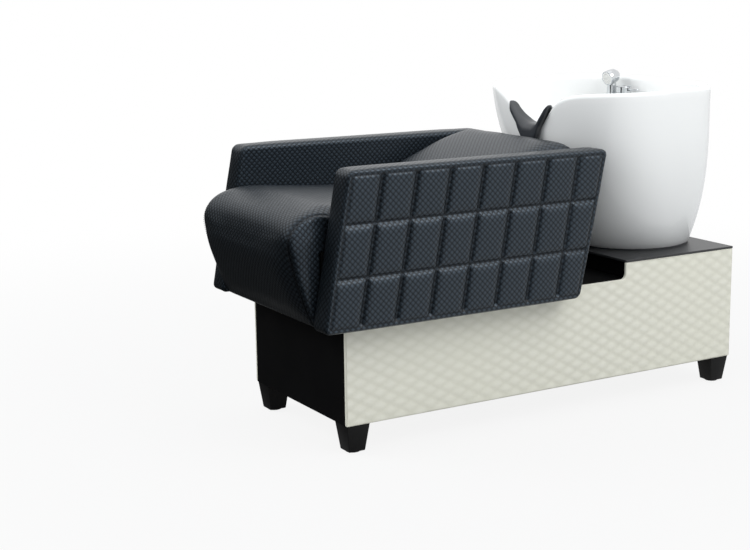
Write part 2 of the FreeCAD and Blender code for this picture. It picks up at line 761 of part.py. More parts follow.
strainer_z += SEAT_REST
strainer_top = strainer_z + STRAINER_T
strainer = rod(0, drain_y, strainer_z, strainer_top, STRAINER_R)
for turn_out in range(1, STRAINER_RINGS + 1):
    circle_r = TAIL_BORE_R * STRAINER_SPREAD * turn_out / STRAINER_RINGS
    holes = STRAINER_HOLES * turn_out
    for i in range(holes):
        a = 2 * math.pi * i / holes
        at = (circle_r * math.cos(a), drain_y + circle_r * math.sin(a))
        strainer = strainer.cut(rod(*at, strainer_z - PAST, strainer_top + PAST, STRAINER_HOLE_R))
knob = Part.makeCone(KNOB_R / 2, KNOB_R, KNOB_H, V(0, drain_y, strainer_top))
save("hair_strainer", strainer.fuse(knob))

seal_low = floor_under - SEAL_T
nut_r = TAIL_R + NUT_WALL
save("drain_gasket", ring(0, drain_y, seal_low, floor_under, nut_r, TAIL_R + FIT))
nut = hexagon(0, drain_y, seal_low - NUT_H, seal_low, nut_r)
save("drain_nut", nut.cut(rod(0, drain_y, seal_low - NUT_H - PAST, seal_low + PAST, TAIL_R + RUNNING)))

trap_top = tail_end + TRAP_SOCKET
trap_low = trap_top - TRAP_H
outlet_z = trap_top - OUTLET_DROP
outlet_y = drain_y + TRAP_R
forward = V(0, 1, 0)
spigot_r = TRAP_R - TRAP_WALL - FIT
chamber_r = spigot_r - TRAP_WALL
trap = rod(0, drain_y, trap_low, trap_top, TRAP_R)
trap = trap.fuse(rod(0, drain_y, trap_low - SPIGOT_H, trap_low, spigot_r))
stub = Part.makeCylinder(PIPE_R + FIT + TRAP_WALL, TRAP_R + OUTLET_L, V(0, drain_y, outlet_z), forward)
trap = trap.fuse(stub)
trap = trap.cut(rod(0, drain_y, tail_end - FIT, trap_top + PAST, TAIL_R + RUNNING))
trap = trap.cut(rod(0, drain_y, trap_low - SPIGOT_H - PAST, tail_end, chamber_r))
trap = trap.cut(Part.makeCylinder(PIPE_R - TUBE_T, TRAP_R, V(0, drain_y, outlet_z), forward))
trap = trap.cut(Part.makeCylinder(PIPE_R + RUNNING, OUTLET_L + PAST, V(0, outlet_y, outlet_z), forward))
save("trap_body", trap)
cup = rod(0, drain_y, trap_low - TRAP_CUP_H, trap_low, TRAP_R)
save("trap_cup", cup.cut(rod(0, drain_y, trap_low - TRAP_CUP_H + TRAP_WALL, trap_low + PAST, TRAP_R - TRAP_WALL)))


def bent_rod(r):
    # Level out of the trap, one bend, then straight down.
    bend_y = pipe_y - PIPE_BEND_R
    level = Part.makeCylinder(r, bend_y - outlet_y, V(0, outlet_y, outlet_z), forward)
    round_face = Part.Face(Part.Wire([Part.Circle(V(0, bend_y, outlet_z), forward, r).toShape()]))
    bend = round_face.revolve(V(0, bend_y, outlet_z - PIPE_BEND_R), V(-1, 0, 0), 90)
    down = rod(0, pipe_y, PIPE_END_Z, outlet_z - PIPE_BEND_R, r)
    return level.fuse([bend, down]).removeSplitter()


save("waste_pipe", bent_rod(PIPE_R).cut(bent_rod(PIPE_R - TUBE_T)))
save("foot_seal", ring(0, foot_y, BOARD_Z, foot_z, FOOT_R - FOOT_SEAL_T, FOOT_R - CASTING_T + FOOT_SEAL_T))

# Mixer: body through the basin's rear ledge, cartridge, swivelling hub and tilting lever
mixer_y = FRONT_Y + MIXER_FROM_FRONT
holder_y = FRONT_Y + HOLDER_FROM_FRONT
mixer_angle = math.atan2(mixer_y - rim_y, MIXER_X)
holder_angle = math.atan2(holder_y - rim_y, HOLDER_X)
tap_seat = min(ledge_at(mixer_angle), ledge_at(holder_angle)) - SPOT_DEPTH
deck_low = tap_seat - TAP_DECK_T
tap_base = tap_seat + GASKET_T


def tap_cuts(x, y, top_r, hole_r, under_r):
    # What is cut for a tap: a flat landing on the ledge, a hole and a flat for the nut below.
    landing = rod(x, y, tap_seat, tap_seat + MIXER_H, top_r + SPOT_MARGIN)
    nut_room = rod(x, y, tap_seat - SHANK_LENGTH, deck_low, under_r + SPOT_MARGIN)
    hole = rod(x, y, deck_low - PAST, tap_seat + PAST, hole_r)
    return [landing, nut_room, hole]


mixer_nut_r = SHANK_R + NUT_WALL
holder_nut_r = HOLDER_TUBE_R + NUT_WALL
basin_cuts = [hollow_solid, drain_cut]
basin_cuts += tap_cuts(MIXER_X, mixer_y, MIXER_FLANGE_R, TAP_HOLE_R, mixer_nut_r)
basin_cuts += tap_cuts(HOLDER_X, holder_y, HOLDER_R, HOLDER_HOLE_R, holder_nut_r)
for cut in basin_cuts:
    basin = basin.cut(cut)
save("basin", basin)

barrel_top = tap_seat + MIXER_H
shank_low = tap_seat - SHANK_LENGTH
body = rod(MIXER_X, mixer_y, tap_base, tap_base + MIXER_FLANGE_T, MIXER_FLANGE_R)
body = body.fuse(rod(MIXER_X, mixer_y, tap_base, barrel_top, MIXER_R))
body = body.fuse(rod(MIXER_X, mixer_y, shank_low, tap_base, SHANK_R))
cartridge_low = barrel_top - CARTRIDGE_H
body = body.cut(rod(MIXER_X, mixer_y, cartridge_low, barrel_top + PAST, CARTRIDGE_R + RUNNING))
inlets = []
for side_x in (-INLET_SPREAD, INLET_SPREAD):
    x = MIXER_X + side_x
    tail = rod(x, mixer_y, shank_low + INLET_IN - INLET_LENGTH, shank_low, INLET_R)
    inlets.append(tail.fuse(rod(x, mixer_y, shank_low, shank_low + INLET_IN, INLET_THREAD_R)))
    body = body.cut(rod(x, mixer_y, shank_low - PAST, shank_low + INLET_IN, INLET_THREAD_R + RUNNING))
save("mixer_body", body)
save("mixer_inlets", *inlets)
save("mixer_gasket", ring(MIXER_X, mixer_y, tap_seat, tap_base, MIXER_FLANGE_R - FIT, SHANK_R + FIT))
nut = hexagon(MIXER_X, mixer_y, deck_low - NUT_H, deck_low, mixer_nut_r)
save("mixer_nut", nut.cut(rod(MIXER_X, mixer_y, deck_low - NUT_H - PAST, deck_low + PAST, SHANK_R + RUNNING)))

hub_low = barrel_top + FIT
hub_top = hub_low + HUB_H
slot_low = hub_low + HUB_FLOOR
pin_z = slot_low + LEVER_BOSS_R + FIT
cartridge = rod(MIXER_X, mixer_y, cartridge_low, barrel_top, CARTRIDGE_R)
save("mixer_cartridge", cartridge.fuse(rod(MIXER_X, mixer_y, barrel_top, slot_low - FIT, STEM_R)))
slot_half = LEVER_W / 2 + FIT
pin_length = 2 * (MIXER_R - LEVER_PIN_R)
hub = rod(MIXER_X, mixer_y, hub_low, hub_top, MIXER_R)
top_edges = [e for e in hub.Edges if e.BoundBox.ZMin > hub_top - FIT]
hub = hub.makeFillet(LEVER_PIN_R, top_edges)
hub = hub.cut(box(MIXER_X - LEVER_BOSS_R - 2 * FIT, MIXER_X + MIXER_R + PAST, mixer_y - slot_half,
                  mixer_y + slot_half, slot_low, hub_top + PAST))
hub = hub.cut(rod(MIXER_X, mixer_y, hub_low - PAST, slot_low + PAST, STEM_R + RUNNING))
pin_at = V(MIXER_X, mixer_y - pin_length / 2, pin_z)
hub = hub.cut(Part.makeCylinder(LEVER_PIN_R + RUNNING, pin_length, pin_at, forward))
save("lever_hub", hub)
save("lever_pin", Part.makeCylinder(LEVER_PIN_R, pin_length, pin_at, forward))

lever = Part.makeCylinder(LEVER_BOSS_R, LEVER_W, V(MIXER_X, mixer_y - LEVER_W / 2, pin_z), forward)
sections = []
for x, half_w, half_t in ((0, LEVER_W / 2, LEVER_BOSS_R), (LEVER_LENGTH, LEVER_TIP_W / 2, LEVER_T / 2)):
    corners = [V(MIXER_X + x, mixer_y + sy * half_w, pin_z + sz * half_t)
               for sy, sz in ((-1, -1), (1, -1), (1, 1), (-1, 1), (-1, -1))]
    sections.append(Part.makePolygon(corners))
lever = lever.fuse(Part.makeLoft(sections, True, True))
lever = lever.fuse(rod(MIXER_X + LEVER_LENGTH, mixer_y, pin_z - LEVER_T / 2, pin_z + LEVER_T / 2, LEVER_TIP_R))
save("mixer_lever", lever.cut(Part.makeCylinder(LEVER_PIN_R + RUNNING, pin_length, pin_at, forward)))

# Hand sprayer in its holder
holder_top = tap_seat + HOLDER_H
holder_low = tap_seat - SHANK_LENGTH
holder = rod(HOLDER_X, holder_y, tap_base, tap_base + MIXER_FLANGE_T, HOLDER_R)
holder = holder.fuse(rod(HOLDER_X, holder_y, tap_base, holder_top, (HOLDER_R + GRIP_R) / 2))
holder = holder.fuse(rod(HOLDER_X, holder_y, holder_low, tap_base, HOLDER_TUBE_R))
holder = holder.cut(rod(HOLDER_X, holder_y, holder_low - PAST, holder_top + PAST, HANDLE_R + SOFT_GAP))
save("sprayer_holder", holder)
save("holder_gasket", ring(HOLDER_X, holder_y, tap_seat, tap_base, HOLDER_R - FIT, HOLDER_TUBE_R + FIT))
nut = hexagon(HOLDER_X, holder_y, deck_low - NUT_H, deck_low, holder_nut_r)
nut = nut.cut(rod(HOLDER_X, holder_y, deck_low - NUT_H - PAST, deck_low + PAST, HOLDER_TUBE_R + RUNNING))
save("holder_nut", nut)

grip_low = holder_top + SEAT_REST
grip_top = grip_low + GRIP_H
neck_top = grip_top + SPRAY_NECK_H
handle = rod(HOLDER_X, holder_y, grip_low - HANDLE_IN, grip_low, HANDLE_R)
handle = handle.fuse(rod(HOLDER_X, holder_y, grip_low, grip_top, GRIP_R))
handle = handle.fuse(rod(HOLDER_X, holder_y, grip_top, neck_top, SPRAY_NECK_R))
save("sprayer_handle", handle)
turn = math.radians(HEAD_TURN)
tilt = math.radians(HEAD_TILT)
head_way = V(-math.sin(turn) * math.cos(tilt), -math.cos(turn) * math.cos(tilt), -math.sin(tilt))
head_middle = V(HOLDER_X, holder_y, neck_top + HEAD_R / 2)
head = Part.makeCylinder(HEAD_R, HEAD_L, head_middle - head_way * (HEAD_L / 2), head_way)
head = head.makeFillet(LEVER_PIN_R, head.Edges)
face_at = head_middle + head_way * (HEAD_L / 2 - PLATE_T)
head = head.cut(Part.makeCylinder(PLATE_R + RUNNING, PLATE_T + PAST, face_at, head_way))
head = head.cut(rod(HOLDER_X, holder_y, grip_top, neck_top, SPRAY_NECK_R + RUNNING))
save("sprayer_head", head)
save("spray_plate", Part.makeCylinder(PLATE_R, PLATE_T, face_at, head_way))

# Neck rest: a rubber saddle that clips over the notch and follows the wall on both sides
def rest_section(share):
    # The wall's inner side stands higher at each x, because the rim's rings shrink inwards.
    x = share * REST_HALF
    inner_x = x * RIM_HALF_X / (RIM_HALF_X - WALL)
    under = rim_line(inner_x, wall_front(inner_x, rim_z, 0)) + REST_GAP
    top = under + REST_PAD_T
    lip = under - REST_TIP_H - (REST_LIP_H - REST_TIP_H) * (1 - share * share)
    ledge = bowl_floor + LEDGE_SHARE * (under - REST_GAP - bowl_floor)
    tuck_h = under - ledge - LEDGE_R - REST_CLEAR
    tuck = under - REST_TIP_H - (tuck_h - REST_TIP_H) * (1 - share * share)
    front = wall_front(x, under, 0) - REST_GAP
    rear = wall_front(x, tuck, WALL + WALL_DRAFT) + REST_GAP
    points = [
        (front - REST_LIP_T, lip),
        (front - REST_LIP_T, top),
        (rear + REST_LIP_T, top),
        (rear + REST_LIP_T, tuck),
        (rear, tuck),
        (rear, under),
        (front, under),
        (front, lip),
    ]
    corners = [V(x, y, z) for y, z in points]
    return Part.makePolygon(corners + corners[:1])


save("neck_rest", Part.makeLoft([rest_section(share) for share in REST_STATIONS], True, True))
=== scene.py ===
import math

import bmesh
import bpy
import numpy as np
from mathutils import Matrix, Vector


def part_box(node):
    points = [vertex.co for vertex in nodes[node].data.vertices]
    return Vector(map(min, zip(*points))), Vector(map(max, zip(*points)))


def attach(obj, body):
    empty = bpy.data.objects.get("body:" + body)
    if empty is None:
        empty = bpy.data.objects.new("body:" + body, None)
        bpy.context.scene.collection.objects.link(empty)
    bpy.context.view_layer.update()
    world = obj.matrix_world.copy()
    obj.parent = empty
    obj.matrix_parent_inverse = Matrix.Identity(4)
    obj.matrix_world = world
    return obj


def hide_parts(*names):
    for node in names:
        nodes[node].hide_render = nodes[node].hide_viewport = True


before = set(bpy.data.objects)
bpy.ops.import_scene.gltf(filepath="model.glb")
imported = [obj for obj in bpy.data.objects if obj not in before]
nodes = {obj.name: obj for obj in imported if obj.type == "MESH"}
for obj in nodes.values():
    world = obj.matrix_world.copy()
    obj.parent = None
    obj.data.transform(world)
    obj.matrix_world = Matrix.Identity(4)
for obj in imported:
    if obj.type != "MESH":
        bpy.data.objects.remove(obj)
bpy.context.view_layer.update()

scene = bpy.context.scene
scene.view_settings.view_transform = "Standard"


# Camera: a long lens a little above the arms, off the sitter's front left corner.
# The photograph's frame is not centred on the chair, which the lens shift repeats.
VIEW_AZIMUTH = math.radians(56.5)
VIEW_HEIGHT = math.radians(11.62)
VIEW_DISTANCE = 3.945
VIEW_TARGET = Vector((0.0, -0.0303, 0.3388))
VIEW_LENS = 71.885
VIEW_SHIFT = -0.12667
view_way = Vector((
    math.sin(VIEW_AZIMUTH) * math.cos(VIEW_HEIGHT),
    -math.cos(VIEW_AZIMUTH) * math.cos(VIEW_HEIGHT),
    math.sin(VIEW_HEIGHT),
))
camera = bpy.data.objects.new("camera", bpy.data.cameras.new("camera"))
scene.collection.objects.link(camera)
camera.location = VIEW_TARGET + view_way * VIEW_DISTANCE
camera.rotation_euler = view_way.to_track_quat("Z", "Y").to_euler()
camera.data.lens = VIEW_LENS
camera.data.shift_x = VIEW_SHIFT
scene.camera = camera


# Studio: matt white paper under the chair, a pale room and soft lamps overhead.
# Floor and room show white to the lens; in what shines on the chair, their front part is dark.
PAPER_HALF = 14.0
PAPER_WHITE_SHARE = 0.88
PAPER_GLOSS_SHARE = 0.45
PAPER_FADE = (1.0, 3.2)
PAPER_END = (0.2, 0.7)
ROOM_LIGHT = 0.93
ROOM_SHADE = 0.90
ROOM_LIGHT_SIDE = (0.52, 0.28, 0.81)
ROOM_LIGHT_FADE = (-0.6, 0.6)
ROOM_FRONT = (-0.2, -0.98, 0.0)
ROOM_FRONT_FADE = (-0.1, 0.3)
ROOM_TOP_FADE = (0.15, 0.55)
ROOM_DIM = 0.03
# Each lamp's name, place, aim, side, watts, and whether it shows in what shines.
LAMPS = (
    ("key_lamp", (2.6, 0.9, 3.1), (0.0, 0.1, 0.4), 2.4, 56.0, True),
    ("top_lamp", (-0.6, 0.3, 3.6), (0.0, 0.0, 0.5), 2.8, 6.0, True),
    ("fill_lamp", (-1.6, -2.6, 2.4), (0.0, 0.35, 0.6), 2.0, 52.0, False),
)


def linear(code):
    """An sRGB hex colour as linear red, green, blue and alpha."""
    shares = [int(code[at:at + 2], 16) / 255 for at in (1, 3, 5)]
    return [s / 12.92 if s <= 0.04045 else ((s + 0.055) / 1.055) ** 2.4 for s in shares] + [1.0]


def add_node(tree, kind, inputs, **settings):
    """A node with its settings made, and its inputs set to values or linked to sockets."""
    made = tree.nodes.new(kind)
    for name, value in settings.items():
        setattr(made, name, value)
    for name, value in inputs.items():
        if isinstance(value, bpy.types.NodeSocket):
            tree.links.new(value, made.inputs[name])
        else:
            made.inputs[name].default_value = value
    return made


def new_finish(name, sockets):
    """A material with those values on its shader, with its tree and shader."""
    finish = bpy.data.materials.new(name)
    finish.use_nodes = True
    shader = finish.node_tree.nodes["Principled BSDF"]
    for socket, value in sockets.items():
        shader.inputs[socket].default_value = value
    return finish, finish.node_tree, shader


def mesh_piece(name, mesh, finish):
    """An object at the origin that shows a mesh, smooth and in its finish."""
    mesh.polygons.foreach_set("use_smooth", [True] * len(mesh.polygons))
    mesh.materials.append(finish)
    piece = bpy.data.objects.new(name, mesh)
    scene.collection.objects.link(piece)
    return piece


def new_piece(name, points, faces, finish):
    """A smooth piece made of points and faces, its faces turned outwards."""
    mesh = bpy.data.meshes.new(name)
    mesh.from_pydata([tuple(p) for p in points], [], faces)
    work = bmesh.new()
    work.from_mesh(mesh)
    bmesh.ops.recalc_face_normals(work, faces=work.faces)
    work.to_mesh(mesh)
    work.free()
    return mesh_piece(name, mesh, finish)


# Paper: matt, white, and plain enough to carry only the chair's shadow.
paper, tree, shader = new_finish("matt_white_paper", {
    "Base Color": linear("#b8b8b8"), "Roughness": 0.9, "Specular IOR Level": 0.1})
rays = add_node(tree, "ShaderNodeLightPath", {}).outputs
spot = add_node(tree, "ShaderNodeTexCoord", {}).outputs["Object"]
away = add_node(tree, "ShaderNodeVectorMath", {0: spot}, operation="LENGTH")
white = add_node(tree, "ShaderNodeMapRange", {
    "Value": away.outputs["Value"], "From Min": PAPER_FADE[0], "From Max": PAPER_FADE[1],
    "To Min": PAPER_WHITE_SHARE, "To Max": 1.0}, interpolation_type="SMOOTHSTEP")
seen = add_node(tree, "ShaderNodeMath", {
    0: rays["Is Camera Ray"], 1: rays["Is Transmission Ray"]}, operation="MAXIMUM")
seen = add_node(tree, "ShaderNodeMath", {0: seen.outputs[0], 1: white.outputs[0]}, operation="MULTIPLY")
shine = add_node(tree, "ShaderNodeMath", {
    0: rays["Is Glossy Ray"], 1: PAPER_GLOSS_SHARE}, operation="MULTIPLY")
share = add_node(tree, "ShaderNodeMath", {0: seen.outputs[0], 1: shine.outputs[0]}, operation="MAXIMUM")
glow = add_node(tree, "ShaderNodeEmission", {"Color": linear("#ffffff"), "Strength": 1.0})
pale = add_node(tree, "ShaderNodeMixShader", {
    0: share.outputs[0], 1: shader.outputs[0], 2: glow.outputs[0]})
front = add_node(tree, "ShaderNodeVectorMath", {0: spot, 1: ROOM_FRONT}, operation="DOT_PRODUCT")
ended = add_node(tree, "ShaderNodeMapRange", {
    "Value": front.outputs["Value"], "From Min": PAPER_END[0], "From Max": PAPER_END[1]},
    interpolation_type="SMOOTHSTEP")
ended = add_node(tree, "ShaderNodeMath", {
    0: rays["Is Glossy Ray"], 1: ended.outputs[0]}, operation="MULTIPLY")
dark = add_node(tree, "ShaderNodeEmission", {"Color": linear("#ffffff"), "Strength": ROOM_DIM})
both = add_node(tree, "ShaderNodeMixShader", {0: ended.outputs[0], 1: pale.outputs[0], 2: dark.outputs[0]})
tree.links.new(both.outputs[0], tree.nodes["Material Output"].inputs["Surface"])
corners = [(x * PAPER_HALF, y * PAPER_HALF, 0.0) for x, y in ((-1, -1), (1, -1), (1, 1), (-1, 1))]
floor = new_piece("floor", corners, [(0, 1, 2, 3)], paper)

room = bpy.data.worlds.new("white_room")
room.use_nodes = True
tree = room.node_tree
rays = add_node(tree, "ShaderNodeLightPath", {}).outputs
seen = add_node(tree, "ShaderNodeMath", {
    0: rays["Is Camera Ray"], 1: rays["Is Glossy Ray"]}, operation="MAXIMUM")
seen = add_node(tree, "ShaderNodeMath", {
    0: seen.outputs[0], 1: rays["Is Transmission Ray"]}, operation="MAXIMUM")
way = add_node(tree, "ShaderNodeTexCoord", {}).outputs["Generated"]
bright = add_node(tree, "ShaderNodeVectorMath", {0: way, 1: ROOM_LIGHT_SIDE}, operation="DOT_PRODUCT")
bright = add_node(tree, "ShaderNodeMapRange", {
    "Value": bright.outputs["Value"], "From Min": ROOM_LIGHT_FADE[0], "From Max": ROOM_LIGHT_FADE[1],
    "To Min": ROOM_SHADE, "To Max": ROOM_LIGHT})
lit = add_node(tree, "ShaderNodeBackground", {"Color": linear("#f4f7fa"), "Strength": bright.outputs[0]})
# What shines shows a white wall behind the chair, a white ceiling and a dim front.
side = add_node(tree, "ShaderNodeVectorMath", {0: way, 1: ROOM_FRONT}, operation="DOT_PRODUCT")
dim = add_node(tree, "ShaderNodeMapRange", {
    "Value": side.outputs["Value"], "From Min": ROOM_FRONT_FADE[0], "From Max": ROOM_FRONT_FADE[1],
    "To Min": 1.0, "To Max": ROOM_DIM})
upward = add_node(tree, "ShaderNodeSeparateXYZ", {0: way})
over = add_node(tree, "ShaderNodeMapRange", {
    "Value": upward.outputs["Z"], "From Min": ROOM_TOP_FADE[0], "From Max": ROOM_TOP_FADE[1]})
level = add_node(tree, "ShaderNodeMath", {0: dim.outputs[0], 1: over.outputs[0]}, operation="MAXIMUM")
level = add_node(tree, "ShaderNodeMath", {
    0: level.outputs[0], 1: rays["Is Camera Ray"]}, operation="MAXIMUM")
wall = add_node(tree, "ShaderNodeBackground", {"Color": linear("#ffffff"), "Strength": level.outputs[0]})
both = add_node(tree, "ShaderNodeMixShader", {0: seen.outputs[0], 1: lit.outputs[0], 2: wall.outputs[0]})
tree.links.new(both.outputs[0], tree.nodes["World Output"].inputs["Surface"])
scene.world = room

for name, at, aim, side, watts, shines in LAMPS:
    lamp = bpy.data.objects.new(name, bpy.data.lights.new(name, "AREA"))
    lamp.data.size = side
    lamp.data.energy = watts
    lamp.visible_glossy = shines
    lamp.location = at
    lamp.rotation_euler = (Vector(at) - Vector(aim)).to_track_quat("Z", "Y").to_euler()
    scene.collection.objects.link(lamp)


# Legs: four tapered beech blocks, sanded at the edges, stained black and lacquered satin.
# Each is pulled up to a corner block by a bolt, and stands on a nylon glide.
LEG_EASE = 0.0022
# How CAD copies are eased: points this near are one, and edges of fewer widths than this stay sharp.
WELD = 1e-5
FLAT_TURN = math.radians(0.5)
EASED_TURN = math.radians(25)
EASED_STEPS = 3
EASED_SHORTEST = 5


def settle(piece, body, slot, *replaced):
    """The piece rides on its body and stands for its CAD nodes, which it hides; its slot is not used."""
    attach(piece, body)
    if replaced:
        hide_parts(*replaced)


def eased(name, node, width, finish, body, slot):
    """A copy of a CAD node with its long edges eased, which stands for the node."""
    work = bmesh.new()
    work.from_mesh(nodes[node].data)
    bmesh.ops.remove_doubles(work, verts=work.verts, dist=WELD)
    bmesh.ops.dissolve_limit(work, angle_limit=FLAT_TURN, verts=work.verts, edges=work.edges)
    sharp = [e for e in work.edges if e.is_manifold and e.calc_face_angle(0) > EASED_TURN
             and e.calc_length() > EASED_SHORTEST * width]
    bmesh.ops.bevel(work, geom=sharp, offset=width, segments=EASED_STEPS, profile=0.5,
                    affect="EDGES", clamp_overlap=True)
    bmesh.ops.triangulate(work, faces=[f for f in work.faces if len(f.verts) > 4])
    mesh = bpy.data.meshes.new(name)
    work.to_mesh(mesh)
    work.free()
    piece = mesh_piece(name, mesh, finish)
    mesh.set_sharp_from_angle(angle=EASED_TURN)
    settle(piece, body, slot, node)
    return piece


def dress(finish, *names):
    """CAD nodes that stay get a finish."""
    for name in names:
        for holder in nodes[name].material_slots:
            holder.material = finish


# Stained beech: the grain shows as faint streaks along the leg under a satin lacquer.
# Pattern scales here are counts a metre: a streak is 2.5 mm wide and 36 mm long.
BEECH_STREAKS = (400.0, 400.0, 28.0)
stained_beech, tree, shader = new_finish("black_stained_beech", {
    "Roughness": 0.45, "Specular IOR Level": 0.16})
spot = add_node(tree, "ShaderNodeTexCoord", {}).outputs["Object"]
drawn_out = add_node(tree, "ShaderNodeMapping", {"Vector": spot, "Scale": BEECH_STREAKS})
grain = add_node(tree, "ShaderNodeTexNoise", {"Vector": drawn_out.outputs[0], "Scale": 1.0, "Detail": 4.0})
tone = add_node(tree, "ShaderNodeValToRGB", {0: grain.outputs["Fac"]})
tone.color_ramp.elements[0].color = linear("#0c0c0d")
tone.color_ramp.elements[1].color = linear("#191919")
bump = add_node(tree, "ShaderNodeBump", {
    "Height": grain.outputs["Fac"], "Distance": 0.0002, "Strength": 0.35})
tree.links.new(tone.outputs[0], shader.inputs["Base Color"])
tree.links.new(bump.outputs[0], shader.inputs["Normal"])
for place in ("front_left", "front_right", "rear_left", "rear_right"):
    eased("tapered_leg_" + place, "leg_" + place, LEG_EASE, stained_beech, "chair", "black_legs")

# Nylon: moulded smooth, with a soft broad shine; its 1.1 mm specks are as coarse as they need to show.
NYLON_SPECKS = 900.0
nylon, tree, shader = new_finish("black_moulded_nylon", {"Base Color": linear("#18191a"), "Roughness": 0.5})
spot = add_node(tree, "ShaderNodeTexCoord", {}).outputs["Object"]
speckle = add_node(tree, "ShaderNodeTexNoise", {"Vector": spot, "Scale": NYLON_SPECKS, "Detail": 2.0})
bump = add_node(tree, "ShaderNodeBump", {
    "Height": speckle.outputs["Fac"], "Distance": 0.0001, "Strength": 0.3})
tree.links.new(bump.outputs[0], shader.inputs["Normal"])
dress(nylon, "leg_glides")

# Zinc-plated steel: pale grey with the cloudy tone of the plating bath, 6 mm a cloud.
ZINC_CLOUDS = 160.0
zinc, tree, shader = new_finish("zinc_plated_steel", {"Metallic": 1.0, "Roughness": 0.34})
spot = add_node(tree, "ShaderNodeTexCoord", {}).outputs["Object"]
cloud = add_node(tree, "ShaderNodeTexNoise", {"Vector": spot, "Scale": ZINC_CLOUDS, "Detail": 3.0})
tone = add_node(tree, "ShaderNodeValToRGB", {0: cloud.outputs["Fac"]})
tone.color_ramp.elements[0].color = linear("#a9adaf")
tone.color_ramp.elements[1].color = linear("#c9cccb")
tree.links.new(tone.outputs[0], shader.inputs["Base Color"])
dress(zinc, "leg_bolts")


# Base box: boards screwed and glued to four corner blocks, black melamine on what shows.
# The rear panel is held by screws, so that the waste and the water can be reached.
BOARD_EASE = 0.0012

# Melamine: pressed paper under resin, even and dull, with a fine pearl texture.
# The pearls are 1.4 mm, as coarse as they need to show; the tone drifts over 110 mm.
MELAMINE_PEARLS = 700.0
MELAMINE_PATCHES = 9.0
melamine, tree, shader = new_finish("black_melamine_board", {"Roughness": 0.65, "Specular IOR Level": 0.08})
spot = add_node(tree, "ShaderNodeTexCoord", {}).outputs["Object"]
pearl = add_node(tree, "ShaderNodeTexNoise", {"Vector": spot, "Scale": MELAMINE_PEARLS, "Detail": 2.0})
patch = add_node(tree, "ShaderNodeTexNoise", {"Vector": spot, "Scale": MELAMINE_PATCHES, "Detail": 3.0})
tone = add_node(tree, "ShaderNodeValToRGB", {0: patch.outputs["Fac"]})
tone.color_ramp.elements[0].color = linear("#080809")
tone.color_ramp.elements[1].color = linear("#0f0f10")
bump = add_node(tree, "ShaderNodeBump", {
    "Height": pearl.outputs["Fac"], "Distance": 0.0001, "Strength": 0.5})
tree.links.new(tone.outputs[0], shader.inputs["Base Color"])
tree.links.new(bump.outputs[0], shader.inputs["Normal"])
for node in ("front_panel", "rear_panel", "riser_panel", "seat_deck"):
    eased("melamine_" + node, node, BOARD_EASE, melamine, "chair", "black_board")

# Birch plywood: pale veneers with a long grain, 11 mm wide and 110 mm long.
PLY_GRAIN = (90.0, 9.0, 90.0)
plywood, tree, shader = new_finish("birch_plywood", {"Roughness": 0.7})
spot = add_node(tree, "ShaderNodeTexCoord", {}).outputs["Object"]
drawn_out = add_node(tree, "ShaderNodeMapping", {"Vector": spot, "Scale": PLY_GRAIN})
grain = add_node(tree, "ShaderNodeTexNoise", {"Vector": drawn_out.outputs[0], "Scale": 1.0, "Detail": 5.0})
tone = add_node(tree, "ShaderNodeValToRGB", {0: grain.outputs["Fac"]})
tone.color_ramp.elements[0].color = linear("#b08e62")
tone.color_ramp.elements[1].color = linear("#d6bb8f")
tree.links.new(tone.outputs[0], shader.inputs["Base Color"])
dress(plywood, "side_board_left", "side_board_right", "cross_rail", "corner_blocks")
dress(melamine, "basin_shelf")

# Laminate: charcoal, satin, with a faint 8 mm mottle that the light brings out.
LAMINATE_MOTTLE = 120.0
laminate, tree, shader = new_finish("charcoal_satin_laminate", {"Roughness": 0.36, "IOR": 1.5})
spot = add_node(tree, "ShaderNodeTexCoord", {}).outputs["Object"]
mottle = add_node(tree, "ShaderNodeTexNoise", {"Vector": spot, "Scale": LAMINATE_MOTTLE, "Detail": 4.0})
tone = add_node(tree, "ShaderNodeValToRGB", {0: mottle.outputs["Fac"]})
tone.color_ramp.elements[0].color = linear("#202123")
tone.color_ramp.elements[1].color = linear("#2e2f31")
tree.links.new(tone.outputs[0], shader.inputs["Base Color"])
eased("laminate_basin_board", "basin_board", BOARD_EASE, laminate, "chair", "laminate")

# Rear panel screws: zinc-plated pan heads, set flat on the panel; slots are shares of the head's radius.
SCREW_R = 0.005
SCREW_H = 0.0024
SCREW_SEAT = 0.0025
SCREW_DOME = 0.94
SCREW_GRID = 24
SLOT_HALF = 0.13
SLOT_REACH = 0.62
SLOT_DEPTH = 0.0011


def new_growth(name, inputs):
    """An empty Geometry Nodes tree with named inputs, its inputs and its end."""
    tree = bpy.data.node_groups.new(name, "GeometryNodeTree")
    tree.interface.new_socket("Geometry", in_out="INPUT", socket_type="NodeSocketGeometry")
    for label, kind in inputs.items():
        tree.interface.new_socket(label, in_out="INPUT", socket_type=kind)
    tree.interface.new_socket("Geometry", in_out="OUTPUT", socket_type="NodeSocketGeometry")
    return tree, tree.nodes.new("NodeGroupInput").outputs, tree.nodes.new("NodeGroupOutput").inputs


def finish_growth(tree, copies, finish, end):
    """Copies become one smooth mesh with its finish."""
    real = add_node(tree, "GeometryNodeRealizeInstances", {"Geometry": copies})
    soft = add_node(tree, "GeometryNodeSetShadeSmooth", {"Geometry": real.outputs[0]})
    done = add_node(tree, "GeometryNodeSetMaterial", {"Geometry": soft.outputs[0], "Material": finish})
    tree.links.new(done.outputs[0], end["Geometry"])


def applied(piece, modifier):
    """The piece's mesh becomes what its modifier makes of it, and the modifier goes."""
    bpy.context.view_layer.update()
    evaluated = piece.evaluated_get(bpy.context.evaluated_depsgraph_get())
    piece.data = bpy.data.meshes.new_from_object(evaluated)
    piece.modifiers.remove(modifier)


